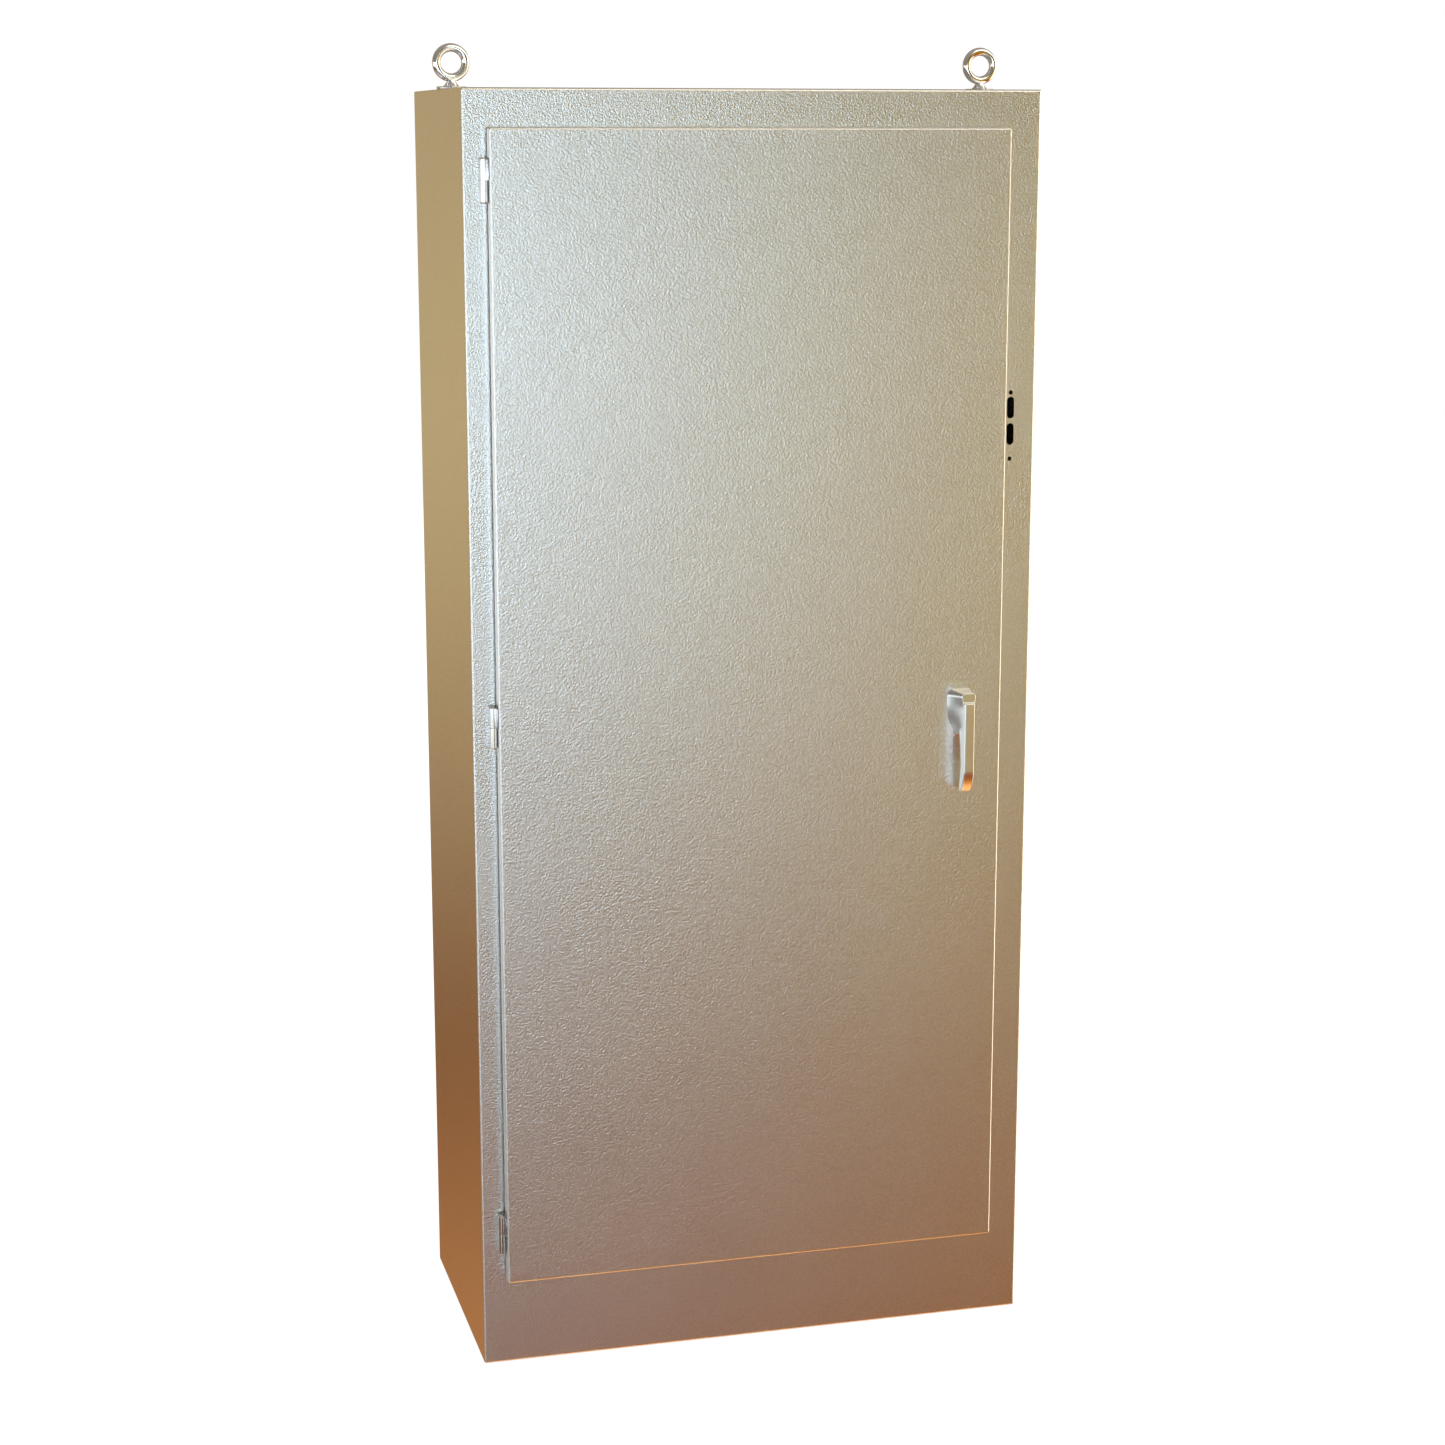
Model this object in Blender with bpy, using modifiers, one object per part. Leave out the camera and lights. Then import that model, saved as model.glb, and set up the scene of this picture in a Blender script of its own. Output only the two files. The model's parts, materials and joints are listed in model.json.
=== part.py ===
"""Free-standing stainless transfer switch enclosure with a three-point latched door.

Metres, +Z up.  X runs to the viewer's right, -Y is the front, and the origin is the
middle of the cabinet's underside.
"""
import bmesh
import bpy
from math import cos, radians, sin
from mathutils import Matrix, Vector

MM = 0.001
GAP = 0.3 * MM                      # clearance between touching pieces

# Cabinet
HEIGHT = 2287.5 * MM
WIDTH = 1034.6 * MM
DEPTH = 511.0 * MM
SHEET = 2.7 * MM                    # 12 gauge sheet
LEFT, RIGHT = -WIDTH / 2, WIDTH / 2
FRONT, BACK = -DEPTH / 2, DEPTH / 2

# Door and the opening behind it
DOOR_LEFT = LEFT + 41 * MM
DOOR_RIGHT = RIGHT - 65 * MM
DOOR_TOP = HEIGHT - 66 * MM
DOOR_BOTTOM = 165 * MM
DOOR_PROUD = 30 * MM                # door skin in front of the frame
DOOR_CLEAR = 9 * MM                 # flange edge to the frame
DOOR_LIP = 10 * MM
BEND = 3.5 * MM
OVERLAP = 24 * MM                   # door over the opening's edge
OPEN_LEFT = DOOR_LEFT + OVERLAP
OPEN_RIGHT = DOOR_RIGHT - OVERLAP
OPEN_TOP = DOOR_TOP - OVERLAP
OPEN_BOTTOM = DOOR_BOTTOM + OVERLAP
COLLAR_PROUD = 14 * MM
SKIN_OUT = FRONT - DOOR_PROUD       # door's outer face
SKIN_IN = SKIN_OUT + SHEET          # door's inner face

# Operator flange on the right stile
FLANGE_X = RIGHT - 46.2 * MM
FLANGE_LOW, FLANGE_HIGH = 1600 * MM, 1794 * MM
SLOT_WIDTH, SLOT_LENGTH = 13.6 * MM, 38.8 * MM
SLOT_Z = (1729.4 * MM, 1682.0 * MM)
SCREW_HOLE_R = 3.8 * MM
SCREW_Z = (1756.5 * MM, 1637.5 * MM)

# Hinges
HINGE_X = LEFT + 34.2 * MM
HINGE_Y = FRONT - 12.6 * MM
HINGE_Z = {"top": 2134 * MM, "middle": 1195 * MM, "bottom": 253.7 * MM}
KNUCKLE_R = 6.5 * MM
KNUCKLE_LENGTH = 34.8 * MM
PIN_R = 4 * MM
PIN_HEAD = 3 * MM

# Eyebolts
EYE_X = RIGHT - 26 * MM
EYE_Y = -6 * MM
RING_RISE = 46 * MM
RING_R = 25.8 * MM
RING_WIRE = 7.3 * MM
SHANK_R = 8 * MM

# Door handle and three-point latch
HANDLE_X = LEFT + 894.4 * MM
HANDLE_Z = 1198 * MM
CRANK_R = 20 * MM
CRANK_ANGLE = radians(45)
CAM_Y = FRONT + 4 * MM
CAM_THICK = 5 * MM
ROD_Y = FRONT + 12 * MM
ROD_THICK = 5 * MM
ROD_WIDTH = 24 * MM
ROD_SHIFT = 17 * MM                 # rod centre line beside the handle's axis
ROLLER_R = 11 * MM
ROLLER_WIDTH = 10 * MM
ROLLER_OVER = 3 * MM                # roller centre past the opening's edge

# Mounting panel and the switch on it
PANEL_WIDTH, PANEL_LOW, PANEL_HIGH = 830 * MM, 200 * MM, 2120 * MM
PANEL_FACE = BACK - 62 * MM
BASE_X, BASE_WIDTH = -30 * MM, 560 * MM
BASE_LOW, BASE_HIGH = 860 * MM, 1700 * MM
BASE_PLATE = 5 * MM
BASE_FACE = PANEL_FACE - BASE_PLATE - GAP
SHAFT_Z = 1280 * MM
SHAFT_Y = BASE_FACE - 55 * MM
SHAFT_R = 13 * MM
CROSSBAR_R = 22 * MM
POLE_PITCH = 110 * MM
POLES = {"a": -1, "b": 0, "c": 1}
HALF_THROW = radians(35)            # the blades' tilt from level, up at rest
HOUSING_NEAR, HOUSING_LENGTH, HOUSING_DEPTH = 42 * MM, 145 * MM, 150 * MM

parts = bpy.data.collections.new("transfer_switch_enclosure")
cutters = bpy.data.collections.new("cutters")


def start_scene():
    for obj in list(bpy.data.objects):
        bpy.data.objects.remove(obj)
    for collection in (parts, cutters):
        bpy.context.scene.collection.children.link(collection)


def finish_of(name, colour, roughness, metallic):
    """A Principled material."""
    made = bpy.data.materials.new(name)
    made.use_nodes = True
    shader = made.node_tree.nodes["Principled BSDF"]
    shader.inputs["Base Color"].default_value = (*colour, 1)
    shader.inputs["Roughness"].default_value = roughness
    shader.inputs["Metallic"].default_value = metallic
    return made


STAINLESS = finish_of("stainless", (0.62, 0.60, 0.56), 0.35, 1)
POLISHED = finish_of("polished_steel", (0.78, 0.77, 0.75), 0.12, 1)
ZINC = finish_of("zinc_steel", (0.60, 0.61, 0.62), 0.3, 1)
WHITE_PAINT = finish_of("white_paint", (0.85, 0.85, 0.82), 0.4, 0)
GREY_PAINT = finish_of("grey_paint", (0.35, 0.37, 0.38), 0.45, 0)
FOAM = finish_of("foam", (0.03, 0.03, 0.03), 0.9, 0)
MOULDING = finish_of("moulding", (0.06, 0.06, 0.065), 0.5, 0)
RED_MOULDING = finish_of("red_moulding", (0.45, 0.04, 0.03), 0.45, 0)
COPPER = finish_of("copper", (0.72, 0.36, 0.20), 0.3, 1)
ALUMINIUM = finish_of("aluminium", (0.75, 0.76, 0.77), 0.3, 1)


def place(obj, name, material, role):
    """Put a new object in its collection; a cutter or a joined shape is hidden."""
    obj.name = name
    obj.data.name = name
    for collection in list(obj.users_collection):
        collection.objects.unlink(obj)
    role.objects.link(obj)
    if material:
        obj.data.materials.append(material)
    if role is cutters:
        obj.hide_render = True
        obj.display_type = "WIRE"
    return obj


def apply_scale(obj):
    obj.data.transform(Matrix.Diagonal((*obj.scale, 1)))
    obj.scale = (1, 1, 1)


def box(name, low, high, material=None, role=parts):
    """A box between two corners."""
    low, high = Vector(low), Vector(high)
    bpy.ops.mesh.primitive_cube_add(size=1, location=(low + high) / 2)
    obj = bpy.context.object
    obj.scale = high - low
    apply_scale(obj)
    return place(obj, name, material, role)


def rod(name, radius, start, end, material=None, role=parts, sides=20, end_radius=None):
    """A cylinder or cone between two points."""
    start, end = Vector(start), Vector(end)
    along = end - start
    bpy.ops.mesh.primitive_cone_add(
        vertices=sides, radius1=radius, depth=along.length, location=(start + end) / 2,
        radius2=radius if end_radius is None else end_radius)
    obj = bpy.context.object
    obj.rotation_mode = "QUATERNION"
    obj.rotation_quaternion = Vector((0, 0, 1)).rotation_difference(along)
    smooth(obj)
    return place(obj, name, material, role)


def smooth(obj):
    obj.data.shade_smooth()
    obj.data.set_sharp_from_angle(angle=radians(35))


def plate(name, outline, axis, start, thickness, material=None, role=parts):
    """A flat outline pushed along an axis; its points are the other two coordinates."""
    curve = bpy.data.curves.new(name, "CURVE")
    curve.dimensions = "2D"
    curve.fill_mode = "BOTH"
    curve.extrude = thickness / 2
    spline = curve.splines.new("POLY")
    spline.points.add(len(outline) - 1)
    for point, (first, second) in zip(spline.points, outline):
        point.co = (first, second, 0, 1)
    spline.use_cyclic_u = True
    drawn = bpy.data.objects.new(name + "_outline", curve)
    bpy.context.scene.collection.objects.link(drawn)
    mid = start + thickness / 2
    turns = {
        "x": Matrix(((0, 0, 1, mid), (1, 0, 0, 0), (0, 1, 0, 0), (0, 0, 0, 1))),
        "y": Matrix(((1, 0, 0, 0), (0, 0, -1, mid), (0, 1, 0, 0), (0, 0, 0, 1))),
        "z": Matrix.Translation((0, 0, mid)),
    }
    drawn.matrix_world = turns[axis]
    bpy.context.view_layer.update()
    evaluated = drawn.evaluated_get(bpy.context.evaluated_depsgraph_get())
    mesh = bpy.data.meshes.new_from_object(evaluated)
    work = bmesh.new()
    work.from_mesh(mesh)
    bmesh.ops.remove_doubles(work, verts=work.verts, dist=1e-6)
    bmesh.ops.dissolve_limit(work, angle_limit=radians(1), verts=work.verts, edges=work.edges)
    work.to_mesh(mesh)
    work.free()
    obj = bpy.data.objects.new(name, mesh)
    obj.matrix_world = drawn.matrix_world
    bpy.context.scene.collection.objects.link(obj)
    bpy.data.objects.remove(drawn)
    smooth(obj)
    return place(obj, name, material, role)


def combine(obj, other, operation):
    change = obj.modifiers.new(other.name, "BOOLEAN")
    change.operation = operation
    change.solver = "EXACT"
    change.object = other


def cut(obj, *tools):
    for tool in tools:
        combine(obj, tool, "DIFFERENCE")
    return obj


def join(obj, *pieces):
    for piece in pieces:
        combine(obj, piece, "UNION")
    return obj


def round_edges(obj, width, segments, angle=60):
    bevel = obj.modifiers.new("round", "BEVEL")
    bevel.width = width
    bevel.segments = segments
    bevel.limit_method = "ANGLE"
    bevel.angle_limit = radians(angle)
    return obj


def window(name, low, high):
    return box(name, low, high, None, cutters)


def drill(name, radius, start, end, sides=16):
    return rod(name, radius, start, end, None, cutters, sides)


def arc(centre, radius, start_deg, end_deg, steps):
    """Points of an arc, both ends included."""
    points = []
    for step in range(steps + 1):
        angle = radians(start_deg + (end_deg - start_deg) * step / steps)
        points.append((centre[0] + radius * cos(angle), centre[1] + radius * sin(angle)))
    return points


def hang_on(name, position, pieces):
    """An empty on a joint's axis that carries the pieces that move about it."""
    pivot = bpy.data.objects.new(name, None)
    pivot.location = position
    parts.objects.link(pivot)
    bpy.context.view_layer.update()
    for piece in pieces:
        piece.parent = pivot
        piece.matrix_parent_inverse = pivot.matrix_world.inverted()
    return pivot


# ---------------------------------------------------------------- cabinet

def cabinet_panels():
    """Back, sides, roof and floor, as flat sheets that meet at the corners."""
    side_back = BACK - SHEET - GAP
    inner_left, inner_right = LEFT + SHEET + GAP, RIGHT - SHEET - GAP
    box("rear_panel", (LEFT, BACK - SHEET, 0), (RIGHT, BACK, HEIGHT), STAINLESS)
    box("side_panel_left", (LEFT, FRONT, 0), (LEFT + SHEET, side_back, HEIGHT), STAINLESS)
    box("side_panel_right", (RIGHT - SHEET, FRONT, 0), (RIGHT, side_back, HEIGHT), STAINLESS)
    roof = box("roof_panel", (inner_left, FRONT + SHEET + GAP, HEIGHT - SHEET),
               (inner_right, side_back, HEIGHT), STAINLESS)
    for side, x in (("left", -EYE_X), ("right", EYE_X)):
        hole = drill(f"roof_hole_{side}", SHANK_R + GAP, (x, EYE_Y, HEIGHT - 0.05),
                     (x, EYE_Y, HEIGHT + 0.05))
        cut(roof, hole)
    floor = box("floor_panel", (inner_left, FRONT + SHEET + GAP, 0),
                (inner_right, side_back, SHEET), STAINLESS)
    inset = 70 * MM
    for x in (LEFT + inset, RIGHT - inset):
        for y in (FRONT + inset, BACK - inset):
            cut(floor, drill("anchor_hole", 7 * MM, (x, y, -0.05), (x, y, 0.05)))


def front_frame():
    """Stiles and rails round the door opening, with the operator flange's cut-outs."""
    back = FRONT + SHEET
    inner_left, inner_right = LEFT + SHEET + GAP, RIGHT - SHEET - GAP
    box("frame_stile_left", (inner_left, FRONT, 0), (OPEN_LEFT, back, HEIGHT), STAINLESS)
    box("frame_stile_right_lower", (OPEN_RIGHT, FRONT, 0),
        (inner_right, back, FLANGE_LOW - GAP), STAINLESS)
    box("frame_stile_right_upper", (OPEN_RIGHT, FRONT, FLANGE_HIGH + GAP),
        (inner_right, back, HEIGHT), STAINLESS)
    box("frame_rail_top", (OPEN_LEFT + GAP, FRONT, OPEN_TOP),
        (OPEN_RIGHT - GAP, back, HEIGHT), STAINLESS)
    box("frame_rail_bottom", (OPEN_LEFT + GAP, FRONT, 0),
        (OPEN_RIGHT - GAP, back, OPEN_BOTTOM), STAINLESS)
    flange = box("operator_flange", (OPEN_RIGHT, FRONT, FLANGE_LOW),
                 (inner_right, back, FLANGE_HIGH), STAINLESS)
    for z in SLOT_Z:
        half = SLOT_LENGTH / 2 - SLOT_WIDTH / 2
        outline = arc((FLANGE_X, z + half), SLOT_WIDTH / 2, 0, 180, 8)
        outline += arc((FLANGE_X, z - half), SLOT_WIDTH / 2, 180, 360, 8)
        cut(flange, plate("operator_slot", outline, "y", FRONT - 0.01, 0.02, None, cutters))
    for z in SCREW_Z:
        cut(flange, drill("operator_screw_hole", SCREW_HOLE_R, (FLANGE_X, FRONT - 0.01, z),
                          (FLANGE_X, FRONT + 0.01, z), 12))


def ring_frame(name, low, high, wall, material):
    """A rectangular ring along Y: low and high are its outer corners."""
    ring = box(name, low, high, material)
    hollow = window(name + "_hollow", (low[0] + wall, low[1] - 0.01, low[2] + wall),
                    (high[0] - wall, high[1] + 0.01, high[2] - wall))
    return cut(ring, hollow)


def opening_collar():
    """Rolled lip round the opening, which the door's gasket closes on."""
    ring_frame("opening_collar", (OPEN_LEFT + 2 * GAP, FRONT - COLLAR_PROUD, OPEN_BOTTOM + GAP),
               (OPEN_RIGHT - 2 * GAP, FRONT + SHEET, OPEN_TOP - GAP), SHEET, STAINLESS)


def eyebolt(side, x):
    """Forged lifting eye with a flange, its shank through the roof and a nut below."""
    bpy.ops.mesh.primitive_torus_add(major_radius=RING_R, minor_radius=RING_WIRE,
                                     major_segments=28, minor_segments=12)
    eye = bpy.context.object
    eye.data.transform(Matrix.Rotation(radians(90), 4, "X"))
    eye.location = (x, EYE_Y, HEIGHT + RING_RISE)
    smooth(eye)
    place(eye, f"eyebolt_{side}", POLISHED, parts)
    base = HEIGHT + GAP
    flange_top = base + 5 * MM
    neck_top = HEIGHT + RING_RISE - RING_R + 2 * MM
    flange = rod("eye_flange", 26 * MM, (x, EYE_Y, base), (x, EYE_Y, flange_top),
                 None, cutters, 24)
    neck = rod("eye_neck", 14.5 * MM, (x, EYE_Y, flange_top - MM), (x, EYE_Y, neck_top),
               None, cutters, 20, 6.5 * MM)
    shank = rod("eye_shank", SHANK_R, (x, EYE_Y, HEIGHT - 40 * MM), (x, EYE_Y, base + MM),
                None, cutters, 16)
    join(eye, neck, flange, shank)
    nut_top = HEIGHT - SHEET - 5 * MM - 2 * GAP
    nut = rod(f"eyebolt_nut_{side}", 15 * MM, (x, EYE_Y, nut_top - 14 * MM),
              (x, EYE_Y, nut_top), ZINC, parts, 6)
    cut(nut, drill("nut_bore", SHANK_R + GAP, (x, EYE_Y, nut_top - 0.05),
                   (x, EYE_Y, nut_top + 0.05)))


def roof_stiffener():
    """Steel bar under the roof that both eyebolts pull on."""
    top = HEIGHT - SHEET - GAP
    bar = box("roof_stiffener", (LEFT + SHEET + GAP, EYE_Y - 20 * MM, top - 5 * MM),
              (RIGHT - SHEET - GAP, EYE_Y + 20 * MM, top), ZINC)
    for x in (-EYE_X, EYE_X):
        cut(bar, drill("bar_hole", SHANK_R + GAP, (x, EYE_Y, HEIGHT - 0.05),
                       (x, EYE_Y, HEIGHT + 0.05)))


# ---------------------------------------------------------------- hinges

def hinge(place_name, z):
    """Lift-off barrel hinge: frame half below, door half above, pin through both."""
    axis = Vector((HINGE_X, HINGE_Y, z))
    up = Vector((0, 0, 1))
    bore = drill("hinge_bore", PIN_R + GAP, axis - up * 0.06, axis + up * 0.06)
    low = axis - up * (KNUCKLE_LENGTH + GAP)
    high = axis + up * (KNUCKLE_LENGTH + GAP)
    frame_half = rod(f"hinge_frame_half_{place_name}", KNUCKLE_R, low, axis - up * GAP, STAINLESS)
    foot = window("hinge_foot", (HINGE_X - 4.2 * MM, HINGE_Y, low.z),
                  (HINGE_X + 4.2 * MM, FRONT - GAP, z - GAP))
    cut(join(frame_half, foot), bore)
    door_half = rod(f"hinge_door_half_{place_name}", KNUCKLE_R, axis + up * GAP, high, STAINLESS)
    leaf = window("hinge_leaf", (HINGE_X, FRONT - 26 * MM, z + GAP),
                  (DOOR_LEFT - GAP, FRONT - 10 * MM, high.z))
    cut(join(door_half, leaf), bore)
    pin = rod(f"hinge_pin_{place_name}", PIN_R, low - up * 2 * MM, high + up * 2 * MM, POLISHED)
    heads = []
    for end, way in ((low, -1), (high, 1)):
        start = end + up * way * GAP
        heads.append(rod("pin_head", KNUCKLE_R - 0.4 * MM, start, start + up * way * PIN_HEAD,
                         None, cutters, 20, KNUCKLE_R - 2.5 * MM))
    join(pin, *heads)
    return door_half


# ---------------------------------------------------------------- door

def door_panel():
    """Formed pan: a flat skin, side flanges and a narrow lip turned in at the back."""
    door = box("door_panel", (DOOR_LEFT, SKIN_OUT, DOOR_BOTTOM),
               (DOOR_RIGHT, FRONT - DOOR_CLEAR, DOOR_TOP), STAINLESS)
    round_edges(door, BEND, 3)
    lip_front = FRONT - DOOR_CLEAR - SHEET
    pan = window("door_hollow", (DOOR_LEFT + SHEET, SKIN_IN, DOOR_BOTTOM + SHEET),
                 (DOOR_RIGHT - SHEET, lip_front, DOOR_TOP - SHEET))
    mouth = window("door_mouth", (DOOR_LEFT + DOOR_LIP, lip_front - MM, DOOR_BOTTOM + DOOR_LIP),
                   (DOOR_RIGHT - DOOR_LIP, FRONT, DOOR_TOP - DOOR_LIP))
    shaft_hole = drill("door_shaft_hole", 13 * MM, (HANDLE_X, SKIN_OUT - 0.01, HANDLE_Z),
                       (HANDLE_X, SKIN_IN + 0.005, HANDLE_Z), 20)
    cut(door, pan, mouth, shaft_hole)
    smooth(door)
    return door


def door_gasket():
    """Foam strip on the door's inner face, opposite the collar."""
    spread = 8 * MM
    return ring_frame("door_gasket", (OPEN_LEFT - spread, SKIN_IN + GAP, OPEN_BOTTOM - spread),
                      (OPEN_RIGHT + spread, FRONT - COLLAR_PROUD - GAP, OPEN_TOP + spread),
                      18 * MM, FOAM)


def door_stiffener():
    """Upright hat channel that keeps the tall door flat."""
    low, high = OPEN_BOTTOM + 60 * MM, OPEN_TOP - 60 * MM
    depth = 16 * MM
    x = -40 * MM
    half, brim = 18 * MM, 16 * MM
    face = SKIN_IN + GAP
    wall = 2 * MM
    outer = [(x - half - brim, face), (x - half - brim, face + wall), (x - half, face + wall),
             (x - half, face + depth), (x + half, face + depth), (x + half, face + wall),
             (x + half + brim, face + wall), (x + half + brim, face)]
    inner = [(x + half - wall, face), (x + half - wall, face + depth - wall),
             (x - half + wall, face + depth - wall), (x - half + wall, face)]
    return plate("door_stiffener", outer + inner, "z", low, high - low, ZINC)


def data_pocket():
    """Open-topped pocket for drawings on the inside of the door."""
    low = (-400 * MM, SKIN_IN + GAP, 700 * MM)
    high = (-110 * MM, SKIN_IN + 36 * MM, 960 * MM)
    wall = 2 * MM
    pocket = box("data_pocket", low, high, WHITE_PAINT)
    hollow = window("pocket_hollow", (low[0] + wall, low[1] + wall, low[2] + wall),
                    (high[0] - wall, high[1] - wall, high[2] + 0.01))
    return cut(pocket, hollow)


# ---------------------------------------------------------------- latch

def loft(name, near, near_y, far, far_y, material):
    """A solid between two outlines with the same number of points, at two depths."""
    work = bmesh.new()
    for outline, y in ((near, near_y), (far, far_y)):
        work.faces.new([work.verts.new((HANDLE_X + x, y, HANDLE_Z + z)) for x, z in outline])
    bmesh.ops.bridge_loops(work, edges=list(work.edges))
    bmesh.ops.recalc_face_normals(work, faces=work.faces)
    mesh = bpy.data.meshes.new(name)
    work.to_mesh(mesh)
    work.free()
    obj = bpy.data.objects.new(name, mesh)
    bpy.context.scene.collection.objects.link(obj)
    smooth(obj)
    return place(obj, name, material, cutters if material is None else parts)


def hub_outline(top_half, shoulder_z, low_half, low_z, top_z, corner):
    """Shield shape: a flat top with round corners, and sides that close in below."""
    side = arc((top_half - corner, top_z - corner), corner, 0, 90, 3)
    right = [(low_half, low_z), (low_half + (top_half - low_half) * 0.55,
              low_z + (shoulder_z - low_z) * 0.35), (top_half, shoulder_z)] + side
    return right + [(-x, z) for x, z in reversed(right)]


def door_handle():
    """Cast handle: a shield-shaped hub on the door and a lever that bends back at its tip."""
    base = SKIN_OUT - GAP
    hub = loft("door_handle", hub_outline(29 * MM, -14 * MM, 9 * MM, -59 * MM, 28 * MM, 8 * MM),
               base, hub_outline(16 * MM, 14 * MM, 9.8 * MM, -40 * MM, 25 * MM, 5 * MM),
               base - 38 * MM, POLISHED)
    profile = [(45, 7), (45, -111), (41.5, -122), (28, -158), (15, -158), (24, -124),
               (26, -111), (22, -73), (12, -40), (5, 7)]
    outline = [(SKIN_OUT - out * MM, HANDLE_Z + z * MM) for out, z in profile]
    lever = plate("handle_lever", outline, "x", HANDLE_X - 10.2 * MM, 20.4 * MM, None, cutters)
    boss = rod("handle_boss", 10 * MM, (HANDLE_X, base - 5 * MM, HANDLE_Z),
               (HANDLE_X, SKIN_IN + 2 * MM, HANDLE_Z), None, cutters, 20)
    return join(hub, lever, boss)


def latch_bushing():
    """Flanged bush in the door that carries the handle's shaft."""
    face = SKIN_IN + 2 * GAP
    bush = rod("latch_bushing", 22 * MM, (HANDLE_X, face, HANDLE_Z),
               (HANDLE_X, face + 5 * MM, HANDLE_Z), ZINC, parts, 24)
    neck = rod("bushing_neck", 15 * MM, (HANDLE_X, face + MM, HANDLE_Z),
               (HANDLE_X, face + 16 * MM, HANDLE_Z), None, cutters, 6)
    bore = drill("bushing_bore", 10.3 * MM, (HANDLE_X, face - 0.01, HANDLE_Z),
                 (HANDLE_X, face + 0.03, HANDLE_Z), 20)
    return cut(join(bush, neck), bore)


def handle_shaft():
    """Square shaft from the hub to the cam."""
    half = 6 * MM
    return box("handle_shaft", (HANDLE_X - half, SKIN_IN + 2 * MM + GAP, HANDLE_Z - half),
               (HANDLE_X + half, CAM_Y - GAP, HANDLE_Z + half), ZINC)


def latch_cam():
    """Cam with a tongue for the right stile and two crank pins for the rods."""
    reach, half = 64 * MM, 11 * MM
    hub_r = 27 * MM
    start = 24.0
    outline = [(HANDLE_X + reach, HANDLE_Z - half), (HANDLE_X + reach, HANDLE_Z + half)]
    outline += arc((HANDLE_X, HANDLE_Z), hub_r, start, 360 - start, 20)
    cam = plate("latch_cam", outline, "y", CAM_Y, CAM_THICK, ZINC)
    for side in (1, -1):
        x = HANDLE_X + side * CRANK_R * cos(CRANK_ANGLE)
        z = HANDLE_Z + side * CRANK_R * sin(CRANK_ANGLE)
        join(cam, rod("crank_pin", 4 * MM, (x, CAM_Y + MM, z),
                      (x, ROD_Y + ROD_THICK, z), None, cutters, 12))
    return cam


def latch_rod(name, way):
    """Flat bar from the cam to the top (way 1) or bottom (way -1), with the roller's pin."""
    edge = OPEN_TOP if way > 0 else OPEN_BOTTOM
    roller_z = edge + way * ROLLER_OVER
    pin_z = HANDLE_Z + way * CRANK_R * sin(CRANK_ANGLE)
    x = HANDLE_X + way * ROD_SHIFT
    half = ROD_WIDTH / 2
    ends = sorted((pin_z - way * 12 * MM, roller_z + way * 7 * MM))
    bar = box(name, (x - half, ROD_Y, ends[0]), (x + half, ROD_Y + ROD_THICK, ends[1]), ZINC)
    slot = window("rod_slot", (x - 8 * MM, ROD_Y - 0.01, pin_z - 6 * MM),
                  (x + 8 * MM, ROD_Y + 0.02, pin_z + 6 * MM))
    mid_y = ROD_Y + ROD_THICK / 2
    pin = rod("roller_pin", 2.4 * MM, (x, mid_y, roller_z),
              (x + way * (half + ROLLER_WIDTH + 4 * MM), mid_y, roller_z), None, cutters, 12)
    cap_start = x + way * (half + ROLLER_WIDTH + 1.2 * MM)
    cap = rod("roller_cap", 5 * MM, (cap_start, mid_y, roller_z),
              (cap_start + way * 2.5 * MM, mid_y, roller_z), None, cutters, 12)
    cut(join(bar, pin, cap), slot)
    low_x = min(x + way * (half + 0.6 * MM), x + way * (half + 0.6 * MM + ROLLER_WIDTH))
    roller = rod(name.replace("rod", "roller"), ROLLER_R, (low_x, mid_y, roller_z),
                 (low_x + ROLLER_WIDTH, mid_y, roller_z), ZINC, parts, 20)
    cut(roller, drill("roller_bore", 2.8 * MM, (low_x - 0.01, mid_y, roller_z),
                      (low_x + 0.02, mid_y, roller_z), 12))
    return bar, roller, Vector((x, mid_y, roller_z))


def rod_guide(name, z, way):
    """Angle on the door's inner face with a slot that keeps the rod straight."""
    x = HANDLE_X + way * ROD_SHIFT
    half = ROD_WIDTH / 2 + 8 * MM
    face = SKIN_IN + GAP
    foot = box(name, (x - half, face, z), (x + half, face + 3 * MM, z + 40 * MM), ZINC)
    web = window("guide_web", (x - half, face, z), (x + half, ROD_Y + ROD_THICK + 8 * MM, z + 3 * MM))
    clear = 0.6 * MM
    slot = window("guide_slot", (x - ROD_WIDTH / 2 - clear, ROD_Y - clear, z - 0.01),
                  (x + ROD_WIDTH / 2 + clear, ROD_Y + ROD_THICK + clear, z + 0.01))
    return cut(join(foot, web), slot)


# ---------------------------------------------------------------- inside

def panel_and_rails():
    """White mounting panel on two channels welded to the back."""
    half = PANEL_WIDTH / 2
    channel = 50 * MM
    for side, x in (("left", -half + 90 * MM), ("right", half - 90 * MM)):
        box(f"panel_rail_{side}", (x - channel / 2, PANEL_FACE + 3 * MM + GAP, PANEL_LOW - 80 * MM),
            (x + channel / 2, BACK - SHEET - GAP, PANEL_HIGH + 60 * MM), ZINC)
    box("mounting_panel", (-half, PANEL_FACE, PANEL_LOW), (half, PANEL_FACE + 3 * MM, PANEL_HIGH),
        WHITE_PAINT)


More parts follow.
